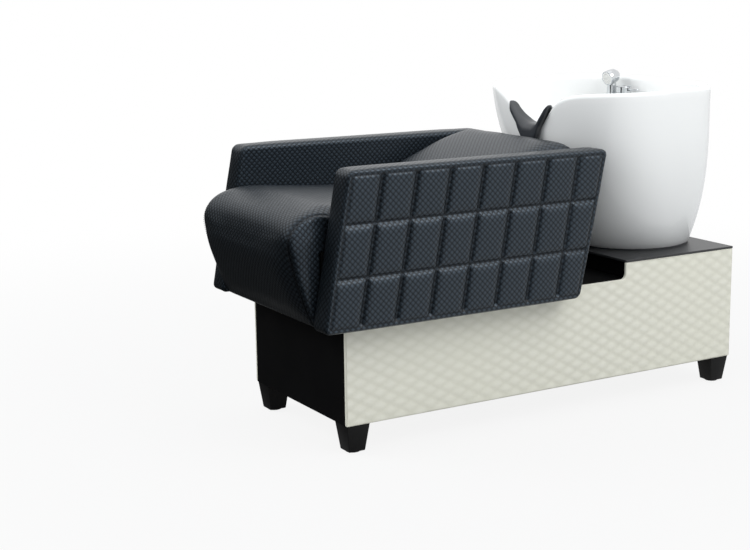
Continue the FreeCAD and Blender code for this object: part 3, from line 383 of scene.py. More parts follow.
def grown(name, points, edges, tree, values):
    """A mesh that a tree makes from points and edges, with the tree's named inputs set."""
    mesh = bpy.data.meshes.new(name)
    mesh.from_pydata([tuple(p) for p in points], edges, [])
    piece = bpy.data.objects.new(name, mesh)
    scene.collection.objects.link(piece)
    growth = piece.modifiers.new("growth", "NODES")
    growth.node_group = tree
    for socket in tree.interface.items_tree:
        if socket.in_out == "INPUT" and socket.name in values:
            growth[socket.identifier] = values[socket.name]
    applied(piece, growth)
    return piece


# A cross-head screw: a low dome whose two slots are pressed in along the lines of its grid.
places = np.linspace(-1, 1, SCREW_GRID + 1)
u, v = [a.ravel() for a in np.meshgrid(places, places)]
x, y = u * np.sqrt(1 - v * v / 2), v * np.sqrt(1 - u * u / 2)
height = SCREW_H * np.sqrt(np.maximum(1 - SCREW_DOME * (x * x + y * y), 0.0))
slot = ((abs(u) < SLOT_HALF) & (abs(v) < SLOT_REACH)) | ((abs(v) < SLOT_HALF) & (abs(u) < SLOT_REACH))
height = height - np.where(slot, SLOT_DEPTH, 0.0)
row = SCREW_GRID + 1
squares = [(i * row + j, i * row + j + 1, (i + 1) * row + j + 1, (i + 1) * row + j)
           for i in range(SCREW_GRID) for j in range(SCREW_GRID)]
screw = new_piece("cross_head_screw", np.stack([SCREW_R * x, SCREW_R * y, height], axis=1), squares, zinc)

set_out, given, end = new_growth("set_out", {
    "Copied": "NodeSocketObject", "Facing": "NodeSocketVector", "Finish": "NodeSocketMaterial"})
copied = add_node(set_out, "GeometryNodeObjectInfo", {"Object": given["Copied"]})
facing = add_node(set_out, "FunctionNodeAlignRotationToVector", {"Vector": given["Facing"]}, axis="Z")
copies = add_node(set_out, "GeometryNodeInstanceOnPoints", {
    "Points": given["Geometry"], "Instance": copied.outputs["Geometry"], "Rotation": facing.outputs[0]})
finish_growth(set_out, copies.outputs[0], given["Finish"], end)

screws_low, screws_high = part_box("rear_panel_screws")
rear_face = screws_high.y - SCREW_SEAT
heads = [(x, rear_face, z) for x in (screws_low.x + SCREW_R, screws_high.x - SCREW_R)
         for z in np.linspace(screws_low.z + SCREW_R, screws_high.z - SCREW_R, 3)]
screws = grown("rear_panel_screw_heads", heads, [], set_out, {
    "Copied": screw, "Facing": (0.0, 1.0, 0.0), "Finish": zinc})
bpy.data.objects.remove(screw)
settle(screws, "chair", "zinc_steel", "rear_panel_screws")
dress(zinc, "seat_screws")


# Side covers: thin boards with a step, wrapped in cream leatherette over a sheet of foam.
# The leatherette is embossed with flat diamonds in staggered rows, and its edges stay soft.
DIAMOND_WIDE = 0.056
DIAMOND_HIGH = 0.0315
DIAMOND_RISE = 0.0016
DIAMOND_FULLNESS = 0.7
DIAMOND_LEVEL = 0.7
COVER_STEP = 0.0045
COVER_EDGE = ((0.0, 0.0026), (0.0005, 0.0014), (0.0014, 0.0005), (0.0028, 0.0))
COVER_OVER_DECK = 0.002
COVER_CORNER = 0.004
COVER_FACING = 0.999
COVER_TURN = math.radians(50)
STEP_FILLET = 0.015
FILLET_STEPS = 8
SIDE_SHARE = 0.49
EDGE_WAVE = 0.00055
EDGE_WAVE_HIGH = 0.02
# The lower edge's slight waviness: share, pace along the cover and start of each wave.
EDGE_SWAYS = ((1.0, 61.0, 0.0), (0.7, 137.0, 1.3))
# A point this near a line or plane lies on it.
ON_LINE = 1e-6


def rounded(points, radii, steps):
    """A closed flat outline with each corner turned into an arc, as far as its sides allow."""
    found = []
    for i, radius in enumerate(radii):
        here = Vector(points[i])
        before = Vector(points[i - 1]) - here
        after = Vector(points[(i + 1) % len(points)]) - here
        half = before.angle(after) / 2
        reach = min(radius / math.tan(half), SIDE_SHARE * before.length, SIDE_SHARE * after.length)
        before.normalize()
        after.normalize()
        middle = (before + after).normalized() * (reach / math.cos(half))
        start, stop = before * reach - middle, after * reach - middle
        turn = math.pi - 2 * half
        for k in range(steps + 1):
            share = k / steps
            arm = (start * math.sin((1 - share) * turn) + stop * math.sin(share * turn)) / math.sin(turn)
            found.append(here + middle + arm)
    return found


# Cream leatherette: vinyl on a knitted back, pressed with 2.4 mm creases, with painted shade that makes the
# diamonds' hollows darker than their tops.
CREAM_CREASES = 420.0
CREAM_PATCHES = 6.0
cream, tree, shader = new_finish("cream_embossed_leatherette", {"Roughness": 0.5, "IOR": 1.48})
spot = add_node(tree, "ShaderNodeTexCoord", {}).outputs["Object"]
relief = add_node(tree, "ShaderNodeAttribute", {}, attribute_name="relief").outputs["Fac"]
crease = add_node(tree, "ShaderNodeTexVoronoi", {
    "Vector": spot, "Scale": CREAM_CREASES}, feature="DISTANCE_TO_EDGE")
patch = add_node(tree, "ShaderNodeTexNoise", {"Vector": spot, "Scale": CREAM_PATCHES, "Detail": 3.0})
# Painted shade: the colour follows the relief, darker in the hollows between the diamonds.
tone = add_node(tree, "ShaderNodeValToRGB", {0: relief})
tone.color_ramp.elements[0].color = linear("#cfcec0")
tone.color_ramp.elements[1].color = linear("#e4e3d8")
warm = add_node(tree, "ShaderNodeMix", {
    0: patch.outputs["Fac"], 6: tone.outputs[0], 7: linear("#dddccd")}, data_type="RGBA")
bump = add_node(tree, "ShaderNodeBump", {
    "Height": crease.outputs["Distance"], "Distance": 0.0003, "Strength": 0.3})
tree.links.new(warm.outputs[2], shader.inputs["Base Color"])
tree.links.new(bump.outputs[0], shader.inputs["Normal"])

cover_low, cover_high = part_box("side_cover_left")
step_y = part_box("basin_board")[0].y
low_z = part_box("seat_deck")[1].z + COVER_OVER_DECK
cover_outline = rounded(
    [(cover_low.y, cover_low.z), (cover_high.y, cover_low.z), (cover_high.y, cover_high.z),
     (step_y, cover_high.z), (step_y, low_z), (cover_low.y, low_z)],
    [COVER_CORNER] * 4 + [STEP_FILLET, COVER_CORNER], FILLET_STEPS)
work = bmesh.new()
rim = [work.verts.new((cover_low.x, p.x, p.y)) for p in cover_outline]
back_face = work.faces.new(rim)
front_face = bmesh.ops.extrude_face_region(work, geom=[back_face])["geom"]
front_face = [f for f in front_face if isinstance(f, bmesh.types.BMFace)]
for v in front_face[0].verts:
    v.co.x = cover_high.x - COVER_EDGE[0][1]
for (was_in, _), (now_in, now_deep) in zip(COVER_EDGE, COVER_EDGE[1:]):
    bmesh.ops.inset_region(work, faces=front_face, thickness=now_in - was_in, use_even_offset=True)
    for v in front_face[0].verts:
        v.co.x = cover_high.x - now_deep
bmesh.ops.recalc_face_normals(work, faces=work.faces)
# The face is cut into a fine grid, and the grid's points rise into diamonds.
inner_faces = set(front_face)
for axis, start, stop in ((1, cover_low.y, cover_high.y), (2, cover_low.z, cover_high.z)):
    count = round((stop - start) / COVER_STEP)
    way = Vector([float(k == axis) for k in range(3)])
    for i in range(1, count):
        at = Vector((0.0, 0.0, 0.0))
        at[axis] = start + (stop - start) * i / count
        across = [f for f in inner_faces
                  if min(v.co[axis] for v in f.verts) < at[axis] < max(v.co[axis] for v in f.verts)]
        inner_faces -= set(across)
        parts = set(across) | {e for f in across for e in f.edges} | {v for f in across for v in f.verts}
        bmesh.ops.bisect_plane(work, geom=list(parts), plane_co=at, plane_no=way, dist=ON_LINE)
        inner_faces |= {f for f in work.faces if f.normal.x > COVER_FACING
                        and f.calc_center_median().x > cover_high.x - ON_LINE}
height_layer = work.verts.layers.float.new("relief")
for v in work.verts:
    across, up = v.co.y / DIAMOND_WIDE, v.co.z / DIAMOND_HIGH
    pillow = abs(math.sin(math.pi * (across + up)) * math.sin(math.pi * (across - up)))
    pillow = pillow ** DIAMOND_FULLNESS
    v[height_layer] = pillow
    if v.co.x > cover_high.x - WELD:
        v.co.x += DIAMOND_RISE * (pillow - DIAMOND_LEVEL)
    sway = sum(share * math.sin(v.co.y * pace + start) for share, pace, start in EDGE_SWAYS)
    edge_nearness = max(0.0, 1 - (v.co.z - cover_low.z) / EDGE_WAVE_HIGH)
    v.co.z += EDGE_WAVE * sway * edge_nearness
cover_mesh = bpy.data.meshes.new("cream_side_cover_left")
work.to_mesh(cover_mesh)
bmesh.ops.transform(work, matrix=Matrix.Diagonal((-1, 1, 1, 1)), verts=work.verts)
bmesh.ops.reverse_faces(work, faces=work.faces)
mirror_mesh = bpy.data.meshes.new("cream_side_cover_right")
work.to_mesh(mirror_mesh)
work.free()
for mesh, node in ((cover_mesh, "side_cover_left"), (mirror_mesh, "side_cover_right")):
    piece = mesh_piece(mesh.name, mesh, cream)
    mesh.set_sharp_from_angle(angle=COVER_TURN)
    settle(piece, "chair", "cream_leatherette", node)


# Seat box and arm cores: plywood boards, screwed to the deck and hidden by the upholstery.
# Bolts through the box's sides hold the two arms.
dress(plywood, "seat_floor_board", "arm_core_left", "arm_core_right")
dress(melamine, "seat_front_board", "seat_top_board", "seat_side_board_left", "seat_side_board_right")
dress(zinc, "arm_bolts")


# Arms: foam round a plywood core, covered in black leatherette with a pressed basket pattern.
# The outer panel is sewn down along two rows and seven raked columns, and seamed to the edge band.
ARM_FRONT = -0.6275
ARM_REAR = 0.0985
ARM_FRONT_RAKE = 0.068
ARM_REAR_RAKE = 0.082
ARM_CORNER = 0.016
ARM_EDGE = 0.009
ARM_STEP = 0.0036
ARM_PUFF = 0.003
ARM_FOOT_PUFF = 0.001
QUILT_PITCH = 0.093
QUILT_COLUMNS = 8
QUILT_ROWS = 3
QUILT_SINK = 0.0075
QUILT_SLOPE = 0.024
QUILT_ROUNDNESS = 2.2
CREASE_SINK = 0.0020
CREASE_HALF = 0.0035
SEAM_IN = 0.012
SEAM_SINK = 0.0034
SEAM_SHADE_AND_DULLNESS = 0.95
SEAM_SHADE_AND_DULL_HALF = 0.6 * CREASE_HALF
CLOTH_FRAMES = 20
CLOTH_MASS = 0.3
CLOTH_PRESSURE = 4.0
EVEN_ROUNDS = 24
TINY = 1e-9

# Black leatherette: the pressed pattern is 10 mm pillows set corner to corner, over a fine grain.
# Its hollows and creases are dull and painted darker as painted shade, and its tops take a grey sheen at a
# low angle.
BASKET_PITCH = 0.0102
BASKET_FULLNESS = 0.6
BLACK_GRAIN = 900.0
black, tree, shader = new_finish("black_basket_leatherette", {
    "Specular Tint": linear("#b6d3ee"), "Coat Weight": 0.35, "Coat Roughness": 0.3})
flat = add_node(tree, "ShaderNodeUVMap", {}, uv_map="cut")
diagonal = add_node(tree, "ShaderNodeMapping", {
    "Vector": flat.outputs["UV"],
    "Rotation": (0.0, 0.0, math.radians(45)),
    "Scale": (math.pi / BASKET_PITCH, math.pi / BASKET_PITCH, 1.0),
})
two_ways = add_node(tree, "ShaderNodeSeparateXYZ", {0: diagonal.outputs[0]})
waves = []
for way in ("X", "Y"):
    wave = add_node(tree, "ShaderNodeMath", {0: two_ways.outputs[way]}, operation="SINE")
    waves.append(add_node(tree, "ShaderNodeMath", {0: wave.outputs[0]}, operation="ABSOLUTE").outputs[0])
pillow = add_node(tree, "ShaderNodeMath", {0: waves[0], 1: waves[1]}, operation="MULTIPLY")
pillow = add_node(tree, "ShaderNodeMath", {0: pillow.outputs[0], 1: BASKET_FULLNESS}, operation="POWER")
spot = add_node(tree, "ShaderNodeTexCoord", {}).outputs["Object"]
grain = add_node(tree, "ShaderNodeTexNoise", {"Vector": spot, "Scale": BLACK_GRAIN, "Detail": 2.0})
# Painted shade: the colour darkens from the pillows' tops into their hollows.
tone = add_node(tree, "ShaderNodeValToRGB", {0: pillow.outputs[0]})
tone.color_ramp.elements[0].color = linear("#020203")
tone.color_ramp.elements[1].color = linear("#101417")
dull = add_node(tree, "ShaderNodeMapRange", {"Value": pillow.outputs[0], "To Min": 0.50, "To Max": 0.38})
bump = add_node(tree, "ShaderNodeBump", {
    "Height": grain.outputs["Fac"], "Distance": 0.0001, "Strength": 0.4})
bump = add_node(tree, "ShaderNodeBump", {
    "Height": pillow.outputs[0], "Distance": 0.0009, "Strength": 1.0, "Normal": bump.outputs[0]})
# Painted shade: points in a crease or seam are coloured darker, as if in shadow.
crease = add_node(tree, "ShaderNodeAttribute", {}, attribute_name="crease").outputs["Fac"]
crease_painted_shade = add_node(tree, "ShaderNodeMix", {
    0: crease, 6: tone.outputs[0], 7: linear("#020203")}, data_type="RGBA")
shiny = add_node(tree, "ShaderNodeMapRange", {"Value": pillow.outputs[0], "To Min": 0.1, "To Max": 1.0})
kept = add_node(tree, "ShaderNodeMapRange", {"Value": crease, "To Min": 1.0, "To Max": 0.5})
gloss = add_node(tree, "ShaderNodeMath", {0: shiny.outputs[0], 1: kept.outputs[0]}, operation="MULTIPLY")
tree.links.new(gloss.outputs[0], shader.inputs["Specular IOR Level"])
tree.links.new(crease_painted_shade.outputs[2], shader.inputs["Base Color"])
tree.links.new(dull.outputs[0], shader.inputs["Roughness"])
tree.links.new(bump.outputs[0], shader.inputs["Normal"])


def spaced(lines, step):
    """Places that hold every line, with even steps of about that length between them."""
    found = [lines[0]]
    for start, stop in zip(lines, lines[1:]):
        count = max(1, round((stop - start) / step))
        found += [start + (stop - start) * k / count for k in range(1, count + 1)]
    return np.array(found)


def box_grid(places):
    """Points, quads and side numbers of a box's skin, gridded at the places along each way."""
    count = [len(p) for p in places]
    number = {}
    points = []
    quads = []
    sides = []
    for axis in range(3):
        one, two = [k for k in range(3) if k != axis]
        for end in (0, count[axis] - 1):
            for i in range(count[one] - 1):
                for j in range(count[two] - 1):
                    quad = []
                    for di, dj in ((0, 0), (1, 0), (1, 1), (0, 1)):
                        key = [0, 0, 0]
                        key[axis], key[one], key[two] = end, i + di, j + dj
                        key = tuple(key)
                        if key not in number:
                            number[key] = len(points)
                            points.append([places[k][key[k]] for k in range(3)])
                        quad.append(number[key])
                    quads.append(quad)
                    sides.append(axis * 2 + (end > 0))
    return np.array(points), quads, np.array(sides)


def evened(piece, values, kept, rounds):
    """Values at a piece's points, each made the mean of its neighbours some times over."""
    edges = np.zeros(len(piece.data.edges) * 2, dtype=int)
    piece.data.edges.foreach_get("vertices", edges)
    one, two = edges.reshape(-1, 2).T
    count = len(values)
    links = np.maximum(np.bincount(one, minlength=count) + np.bincount(two, minlength=count), 1)
    for _ in range(rounds):
        total = np.stack([np.bincount(one, values[two, k], count) + np.bincount(two, values[one, k], count)
                          for k in range(3)], axis=1)
        values = np.where(kept[:, None], values, total / links[:, None])
    return values


def skin_of(piece):
    """Places and normals of a piece's points."""
    count = len(piece.data.vertices)
    at = np.zeros(count * 3)
    way = np.zeros(count * 3)
    piece.data.vertices.foreach_get("co", at)
    piece.data.vertices.foreach_get("normal", way)
    return at.reshape(-1, 3), way.reshape(-1, 3)


def move_to(piece, at):
    """Puts a piece's points at those places."""
    piece.data.vertices.foreach_set("co", at.ravel())
    piece.data.update()


def mark_creases(piece, shares):
    """Tells the leatherette how far into a crease each point lies, from 0 to 1, which it shows as painted
    shade and a duller shine.
    """
    mark = piece.data.attributes.new("crease", "FLOAT", "POINT")
    mark.data.foreach_set("value", shares.astype(np.float32))


def puffed(piece, pinned, cap):
    """Cloth swollen from inside: pinned points stay, and each point moves at most by its cap."""
    start, _ = skin_of(piece)
    group = piece.vertex_groups.new(name="sewn")
    group.add([int(i) for i in np.nonzero(pinned)[0]], 1.0, "REPLACE")
    cloth = piece.modifiers.new("cloth", "CLOTH")
    cloth.settings.quality = 4
    cloth.settings.mass = CLOTH_MASS
    cloth.settings.use_pressure = True
    cloth.settings.uniform_pressure_force = CLOTH_PRESSURE
    cloth.settings.vertex_group_mass = "sewn"
    cloth.settings.effector_weights.gravity = 0.0
    cloth.collision_settings.use_collision = False
    for frame_number in range(1, CLOTH_FRAMES + 1):
        scene.frame_set(frame_number)
    bpy.context.view_layer.update()
    swollen, _ = skin_of(piece.evaluated_get(bpy.context.evaluated_depsgraph_get()))
    move = swollen - start
    length = np.linalg.norm(move, axis=1)
    move *= (np.minimum(length, cap) / np.maximum(length, TINY))[:, None]
    move = evened(piece, np.where(pinned[:, None], 0.0, move), pinned, EVEN_ROUNDS)
    piece.modifiers.remove(cloth)
    piece.vertex_groups.clear()
    scene.frame_set(1)
    move_to(piece, start + move)


arm_low, arm_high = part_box("arm_pad_left")
thick = arm_high.x - arm_low.x
long = ARM_REAR - ARM_FRONT
high = arm_high.z - arm_low.z
column_lines = [QUILT_PITCH * k for k in range(1, QUILT_COLUMNS)]
row_lines = [high * k / QUILT_ROWS for k in range(1, QUILT_ROWS)]
places = (
    spaced([0, ARM_EDGE, thick - ARM_EDGE, thick], ARM_STEP),
    spaced([0, SEAM_IN] + column_lines + [long - SEAM_IN, long], ARM_STEP),
    spaced([0, SEAM_IN] + row_lines + [high - SEAM_IN, high], ARM_STEP),
)
flat_points, quads, sides = box_grid(places)
deep, along, up = flat_points.T.copy()
on_outer = deep > thick - ON_LINE
inset = np.minimum.reduce([along, long - along, up, high - up])
on_seam = on_outer & (abs(inset - SEAM_IN) < ON_LINE)
on_panel = on_outer & (inset > SEAM_IN - ON_LINE)
to_column = np.min([abs(along - line) for line in column_lines], axis=0)
to_row = np.min([abs(up - line) for line in row_lines], axis=0)
on_channel = on_panel & ((to_column < ON_LINE) | (to_row < ON_LINE))
# Round corners of the outline, then round edges between outline and faces.
core_along = np.clip(along, ARM_CORNER, long - ARM_CORNER)
core_up = np.clip(up, ARM_CORNER, high - ARM_CORNER)
out_along, out_up = along - core_along, up - core_up
reach = np.maximum(abs(out_along), abs(out_up))
length = np.maximum(np.hypot(out_along, out_up), TINY)
way_along, way_up = out_along / length, out_up / length
near = np.maximum(ARM_EDGE - (ARM_CORNER - reach), 0.0)
core_deep = np.clip(deep, ARM_EDGE, thick - ARM_EDGE)
out_deep = deep - core_deep
shrink = np.maximum(abs(out_deep), near) / np.maximum(np.hypot(out_deep, near), TINY)
round_deep = core_deep + out_deep * np.where(near > 0, shrink, 1.0)
reach_now = reach + near * np.where(out_deep != 0, shrink - 1, 0.0)
round_along = core_along + way_along * reach_now
round_up = core_up + way_up * reach_now
# The panel swells between the sewn lines, which lie in narrow creases.
to_edge = np.where(on_panel, inset - SEAM_IN, 1.0)
to_seam = np.where(on_outer, inset - SEAM_IN, 1.0)
to_sewn = np.where(on_panel, np.minimum(to_column, to_row), 1.0)
crease = np.exp(-(to_sewn / CREASE_HALF) ** 2)
sink = QUILT_SINK * np.clip(1 - to_sewn / QUILT_SLOPE, 0, 1) ** QUILT_ROUNDNESS + CREASE_SINK * crease
seam_depth = SEAM_SINK * np.exp(-(to_seam / CREASE_HALF) ** 2)
sink = np.maximum(sink * np.clip(to_edge / CREASE_HALF, 0, 1), seam_depth)
round_deep = round_deep - np.where(on_outer, sink, 0.0)
# Sewn lines and the seam get a crease share, which the leatherette shows as painted shade and a duller shine.
crease = np.maximum(crease, SEAM_SHADE_AND_DULLNESS * np.exp(-(to_seam / SEAM_SHADE_AND_DULL_HALF) ** 2))
# Both ends rake back as they rise, the rear end a little more.
share_up = round_up / high
last = column_lines[-1]
spread = np.maximum(round_along - last, 0.0) / (long - last) * (ARM_REAR_RAKE - ARM_FRONT_RAKE)
arm_points = np.stack([
    arm_low.x + round_deep,
    ARM_FRONT + round_along + share_up * (ARM_FRONT_RAKE + spread),
    arm_low.z + round_up,
], axis=1)
arm = new_piece("quilted_arm_left", arm_points, quads, black)
mark_creases(arm, crease)
cap = np.where(up < ON_LINE, ARM_FOOT_PUFF, ARM_PUFF)
puffed(arm, on_seam | on_channel | (deep < ON_LINE), cap)
# The cover's pattern runs flat over each side, as it was cut.
raked = along + up * ARM_FRONT_RAKE / high
by_side = {0: (raked, up), 1: (raked, up), 2: (deep, up), 3: (deep, up), 4: (along, deep), 5: (along, deep)}
cut = arm.data.uv_layers.new(name="cut")
corner_points = np.zeros(len(arm.data.loops), dtype=int)
arm.data.loops.foreach_get("vertex_index", corner_points)
corner_sides = np.repeat(sides, 4)
flat_cut = np.zeros((len(corner_points), 2))
for side, (u, v) in by_side.items():
    mine = corner_sides == side
    flat_cut[mine, 0] = u[corner_points[mine]]
    flat_cut[mine, 1] = v[corner_points[mine]]
cut.data.foreach_set("uv", flat_cut.ravel())

# Thread: spun polyester, slightly glossy, with a 0.4 mm twist.
THREAD_TWIST = 2500.0
thread, tree, shader = new_finish("black_polyester_thread", {
    "Base Color": linear("#141619"), "Roughness": 0.55})
spot = add_node(tree, "ShaderNodeTexCoord", {}).outputs["Object"]
twist = add_node(tree, "ShaderNodeTexNoise", {"Vector": spot, "Scale": THREAD_TWIST, "Detail": 1.0})
bump = add_node(tree, "ShaderNodeBump", {
    "Height": twist.outputs["Fac"], "Distance": 0.0001, "Strength": 0.4})
tree.links.new(bump.outputs[0], shader.inputs["Normal"])

stitch_row, given, end = new_growth("stitch_row", {
    "Spacing": "NodeSocketFloat", "Stitch": "NodeSocketVector", "Finish": "NodeSocketMaterial"})
line = add_node(stitch_row, "GeometryNodeMeshToCurve", {"Mesh": given["Geometry"]})
marks = add_node(stitch_row, "GeometryNodeResampleCurve", {
    "Curve": line.outputs[0], "Length": given["Spacing"]}, mode="LENGTH")
bead = add_node(stitch_row, "GeometryNodeMeshUVSphere", {"Segments": 8, "Rings": 6, "Radius": 0.5})
stitch = add_node(stitch_row, "GeometryNodeTransform", {
    "Geometry": bead.outputs[0], "Scale": given["Stitch"]})
tangent = add_node(stitch_row, "GeometryNodeInputTangent", {})
facing = add_node(stitch_row, "FunctionNodeAlignRotationToVector", {"Vector": tangent.outputs[0]}, axis="X")
copies = add_node(stitch_row, "GeometryNodeInstanceOnPoints", {
    "Points": marks.outputs[0], "Instance": stitch.outputs[0], "Rotation": facing.outputs[0]})
finish_growth(stitch_row, copies.outputs[0], given["Finish"], end)
STITCH = {"Spacing": 0.0052, "Stitch": (0.0036, 0.0009, 0.0009), "Finish": thread}
STITCH_LIFT = 0.0003

# The seam's points in order: along the foot, up the rear, back along the top and down the front.
# Each side's numbers start a lap after the last one's.
LAP = 10.0
arm_at, _ = skin_of(arm)
lower, upper = abs(up - SEAM_IN) < ON_LINE, abs(high - up - SEAM_IN) < ON_LINE
order = np.where(along > long / 2, LAP + up, 3 * LAP - up)
order = np.where(lower, along, np.where(upper, 2 * LAP - along, order))
round_seam = np.nonzero(on_seam)[0]
round_seam = round_seam[np.argsort(order[round_seam])]
seam_line = arm_at[round_seam] + (STITCH_LIFT, 0.0, 0.0)
joined = [(i, (i + 1) % len(seam_line)) for i in range(len(seam_line))]
for side, name in ((1, "arm_seam_stitches_left"), (-1, "arm_seam_stitches_right")):
    row_of_stitches = grown(name, seam_line * (side, 1, 1), joined, stitch_row, STITCH)
    settle(row_of_stitches, "chair", "black_leatherette")

other_mesh = arm.data.copy()
other_mesh.name = "quilted_arm_right"
other_mesh.transform(Matrix.Diagonal((-1, 1, 1, 1)))
other_mesh.flip_normals()
other_arm = bpy.data.objects.new("quilted_arm_right", other_mesh)
scene.collection.objects.link(other_arm)
for piece, node in ((arm, "arm_pad_left"), (other_arm, "arm_pad_right")):
    settle(piece, "chair", "foam_filled_leatherette", node)


# Seat cushion: foam on the box's top board, pulled round the nose and down to a front apron.
# Its cover has a boxed edge: a seam runs along both sides, a finger's width in.
CUSHION_VOXEL = 0.005
CUSHION_SHRINK = 0.003
RESTS_WITHIN = 0.003
BOARD_LAP = 0.004
SOFT_ROUNDS = 4
SOFT_FILL = 0.0015
SEAT_PUFF = 0.012
SEAT_SEAM_IN = 0.0150
SEAT_SEAM_RUN = (-1.0, 2.7)
SEAT_CORE = 0.04
SEAM_GROOVE = 0.0028
SEAM_WIDTH = 0.0035
SEAM_FACING = 1.3
CUT_TURN = 0.72
RULER_MARKS = 90
RULER_REACH = 0.06
RULER_EVEN = 2
NOSE_PUSH = 0.013
NOSE_DEEP = 0.10
NOSE_HIGH = 0.6


def remeshed(name, node, finish):
    """A closed, even skin of small quads over a CAD cushion."""
    work = bmesh.new()
    work.from_mesh(nodes[node].data)
    bmesh.ops.remove_doubles(work, verts=work.verts, dist=WELD)
    mesh = bpy.data.meshes.new(name)
    work.to_mesh(mesh)
    work.free()
    piece = mesh_piece(name, mesh, finish)
    remesh = piece.modifiers.new("remesh", "REMESH")
    remesh.mode = "VOXEL"
    remesh.voxel_size = CUSHION_VOXEL
    applied(piece, remesh)
    piece.data.materials.clear()
    piece.data.materials.append(finish)
    piece.data.polygons.foreach_set("use_smooth", [True] * len(piece.data.polygons))
    return piece


def soft_cushion(name, node, held, puff):
    """A cushion swollen as cloth from a shrunken copy of its CAD node, held where it rests."""
    piece = remeshed(name, node, black)
    at, way = skin_of(piece)
    resting = held(at, way)
    move_to(piece, at - way * np.where(resting, 0.0, CUSHION_SHRINK)[:, None])
    puffed(piece, resting, np.where(resting, 0.0, puff))
    at, _ = skin_of(piece)
    move_to(piece, evened(piece, at, resting, SOFT_ROUNDS))
    at, way = skin_of(piece)
    move_to(piece, at + way * np.where(resting, 0.0, SOFT_FILL)[:, None])
    return piece


def round_pivot(at, pivot):
    """The turn and the distance of points from a pivot line that runs across the chair."""
    ahead, above = pivot[0] - at[:, 1], at[:, 2] - pivot[1]
    return np.arctan2(above, ahead), np.hypot(ahead, above)


def outer_run(turn, far, marks, reach):
    """The greatest distance near each mark of the turn, evened out along the marks."""
    run = np.array([far[abs(turn - mark) < reach].max() for mark in marks])
    spread = 2 * RULER_EVEN + 1
    return np.convolve(np.pad(run, RULER_EVEN, mode="edge"), np.ones(spread) / spread, mode="valid")


def cut_cover(piece, pivot):
    """A UV map in metres: across the seat, and along the cover's run round the pivot."""
    at, _ = skin_of(piece)
    turn, far = round_pivot(at, pivot)
    middle = abs(at[:, 0]) < 2 * CUSHION_VOXEL
    marks = np.linspace(turn[middle].min(), turn[middle].max(), RULER_MARKS)
    reach = outer_run(turn[middle], far[middle], marks, marks[1] - marks[0])
    run = np.stack([reach * np.cos(marks), reach * np.sin(marks)], axis=1)
    ruler = np.concatenate([[0], np.cumsum(np.linalg.norm(np.diff(run, axis=0), axis=1))])
    along = np.interp(turn, marks, ruler)
    corner_points = np.zeros(len(piece.data.loops), dtype=int)
    piece.data.loops.foreach_get("vertex_index", corner_points)
    totals = np.zeros(len(piece.data.polygons), dtype=int)
    piece.data.polygons.foreach_get("loop_total", totals)
    facing = np.zeros(len(piece.data.polygons) * 3)
    piece.data.polygons.foreach_get("normal", facing)
    sideways = np.repeat(abs(facing.reshape(-1, 3)[:, 0]) > CUT_TURN, totals)
    u = np.where(sideways, at[corner_points, 1], at[corner_points, 0])
    v = np.where(sideways, at[corner_points, 2], along[corner_points])
    layer = piece.data.uv_layers.new(name="cut")
    layer.data.foreach_set("uv", np.stack([u, v], axis=1).ravel())


def finer(piece):
    """One subdivision, so that seams show as narrow as they are."""
    smooth = piece.modifiers.new("smooth", "SUBSURF")
    smooth.levels = 1
    smooth.render_levels = 1
    applied(piece, smooth)


def groove(piece, places):
    """Presses a seam into the cover along planes of constant x, and marks it for the leatherette's painted
    shade.
    """
    at, way = skin_of(piece)
    press = np.zeros(len(at))
    for place in places:
        near = np.exp(-((at[:, 0] - place) / SEAM_WIDTH) ** 2)
        press = np.maximum(press, near * np.clip(SEAM_FACING - abs(way[:, 0]), 0, 1))
    move_to(piece, at - way * SEAM_GROOVE * press[:, None])
    mark_creases(piece, press)


def gradual(share):
    """A share held from 0 to 1 that starts and ends gently."""
    share = np.clip(share, 0, 1)
    return share * share * (3 - 2 * share)


seat_low, seat_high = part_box("seat_cushion")
box_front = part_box("seat_front_board")[0].y
shelf_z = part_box("seat_top_board")[1].z


def seat_rests(at, way):
    """Where the seat lies on its top board, hangs on its front board or meets the back."""
    under = (at[:, 2] < shelf_z + RESTS_WITHIN) & (at[:, 1] > box_front + BOARD_LAP)
    behind = (at[:, 1] > box_front - RESTS_WITHIN) & (at[:, 2] < shelf_z)
    rear = at[:, 1] > seat_high.y - RESTS_WITHIN
    return under | behind | rear


seat = soft_cushion("seat_cushion_cover", "seat_cushion", seat_rests, SEAT_PUFF)
finer(seat)
at, _ = skin_of(seat)
at[:, 0] = np.clip(at[:, 0], seat_low.x, seat_high.x)
# The foam bellies out over the apron, fully from a little above the nose's middle.
ahead = (seat_low.y + NOSE_DEEP - at[:, 1]) / NOSE_DEEP
above = (at[:, 2] - seat_low.z) / (NOSE_HIGH * (seat_high.z - seat_low.z))
at[:, 1] -= NOSE_PUSH * gradual(ahead) * gradual(above)
move_to(seat, at)
groove(seat, (seat_low.x + SEAT_SEAM_IN, seat_high.x - SEAT_SEAM_IN))
seat_pivot = (box_front + SEAT_CORE, shelf_z - SEAT_CORE)
cut_cover(seat, seat_pivot)
settle(seat, "chair", "foam_filled_leatherette", "seat_cushion")
at, _ = skin_of(seat)
turn, far = round_pivot(at, seat_pivot)
marks = np.linspace(*SEAT_SEAM_RUN, RULER_MARKS)
for place, name in ((seat_high.x - SEAT_SEAM_IN, "seat_seam_stitches_left"),
                    (seat_low.x + SEAT_SEAM_IN, "seat_seam_stitches_right")):
    near = abs(at[:, 0] - place) < CUSHION_VOXEL / 2
    reach = outer_run(turn[near], far[near], marks, RULER_REACH) + STITCH_LIFT
    seam_line = [(place, seat_pivot[0] - r * math.cos(t), seat_pivot[1] + r * math.sin(t))
                 for r, t in zip(reach, marks)]
    joined = [(i, i + 1) for i in range(len(seam_line) - 1)]
    settle(grown(name, seam_line, joined, stitch_row, STITCH), "chair", "black_leatherette")


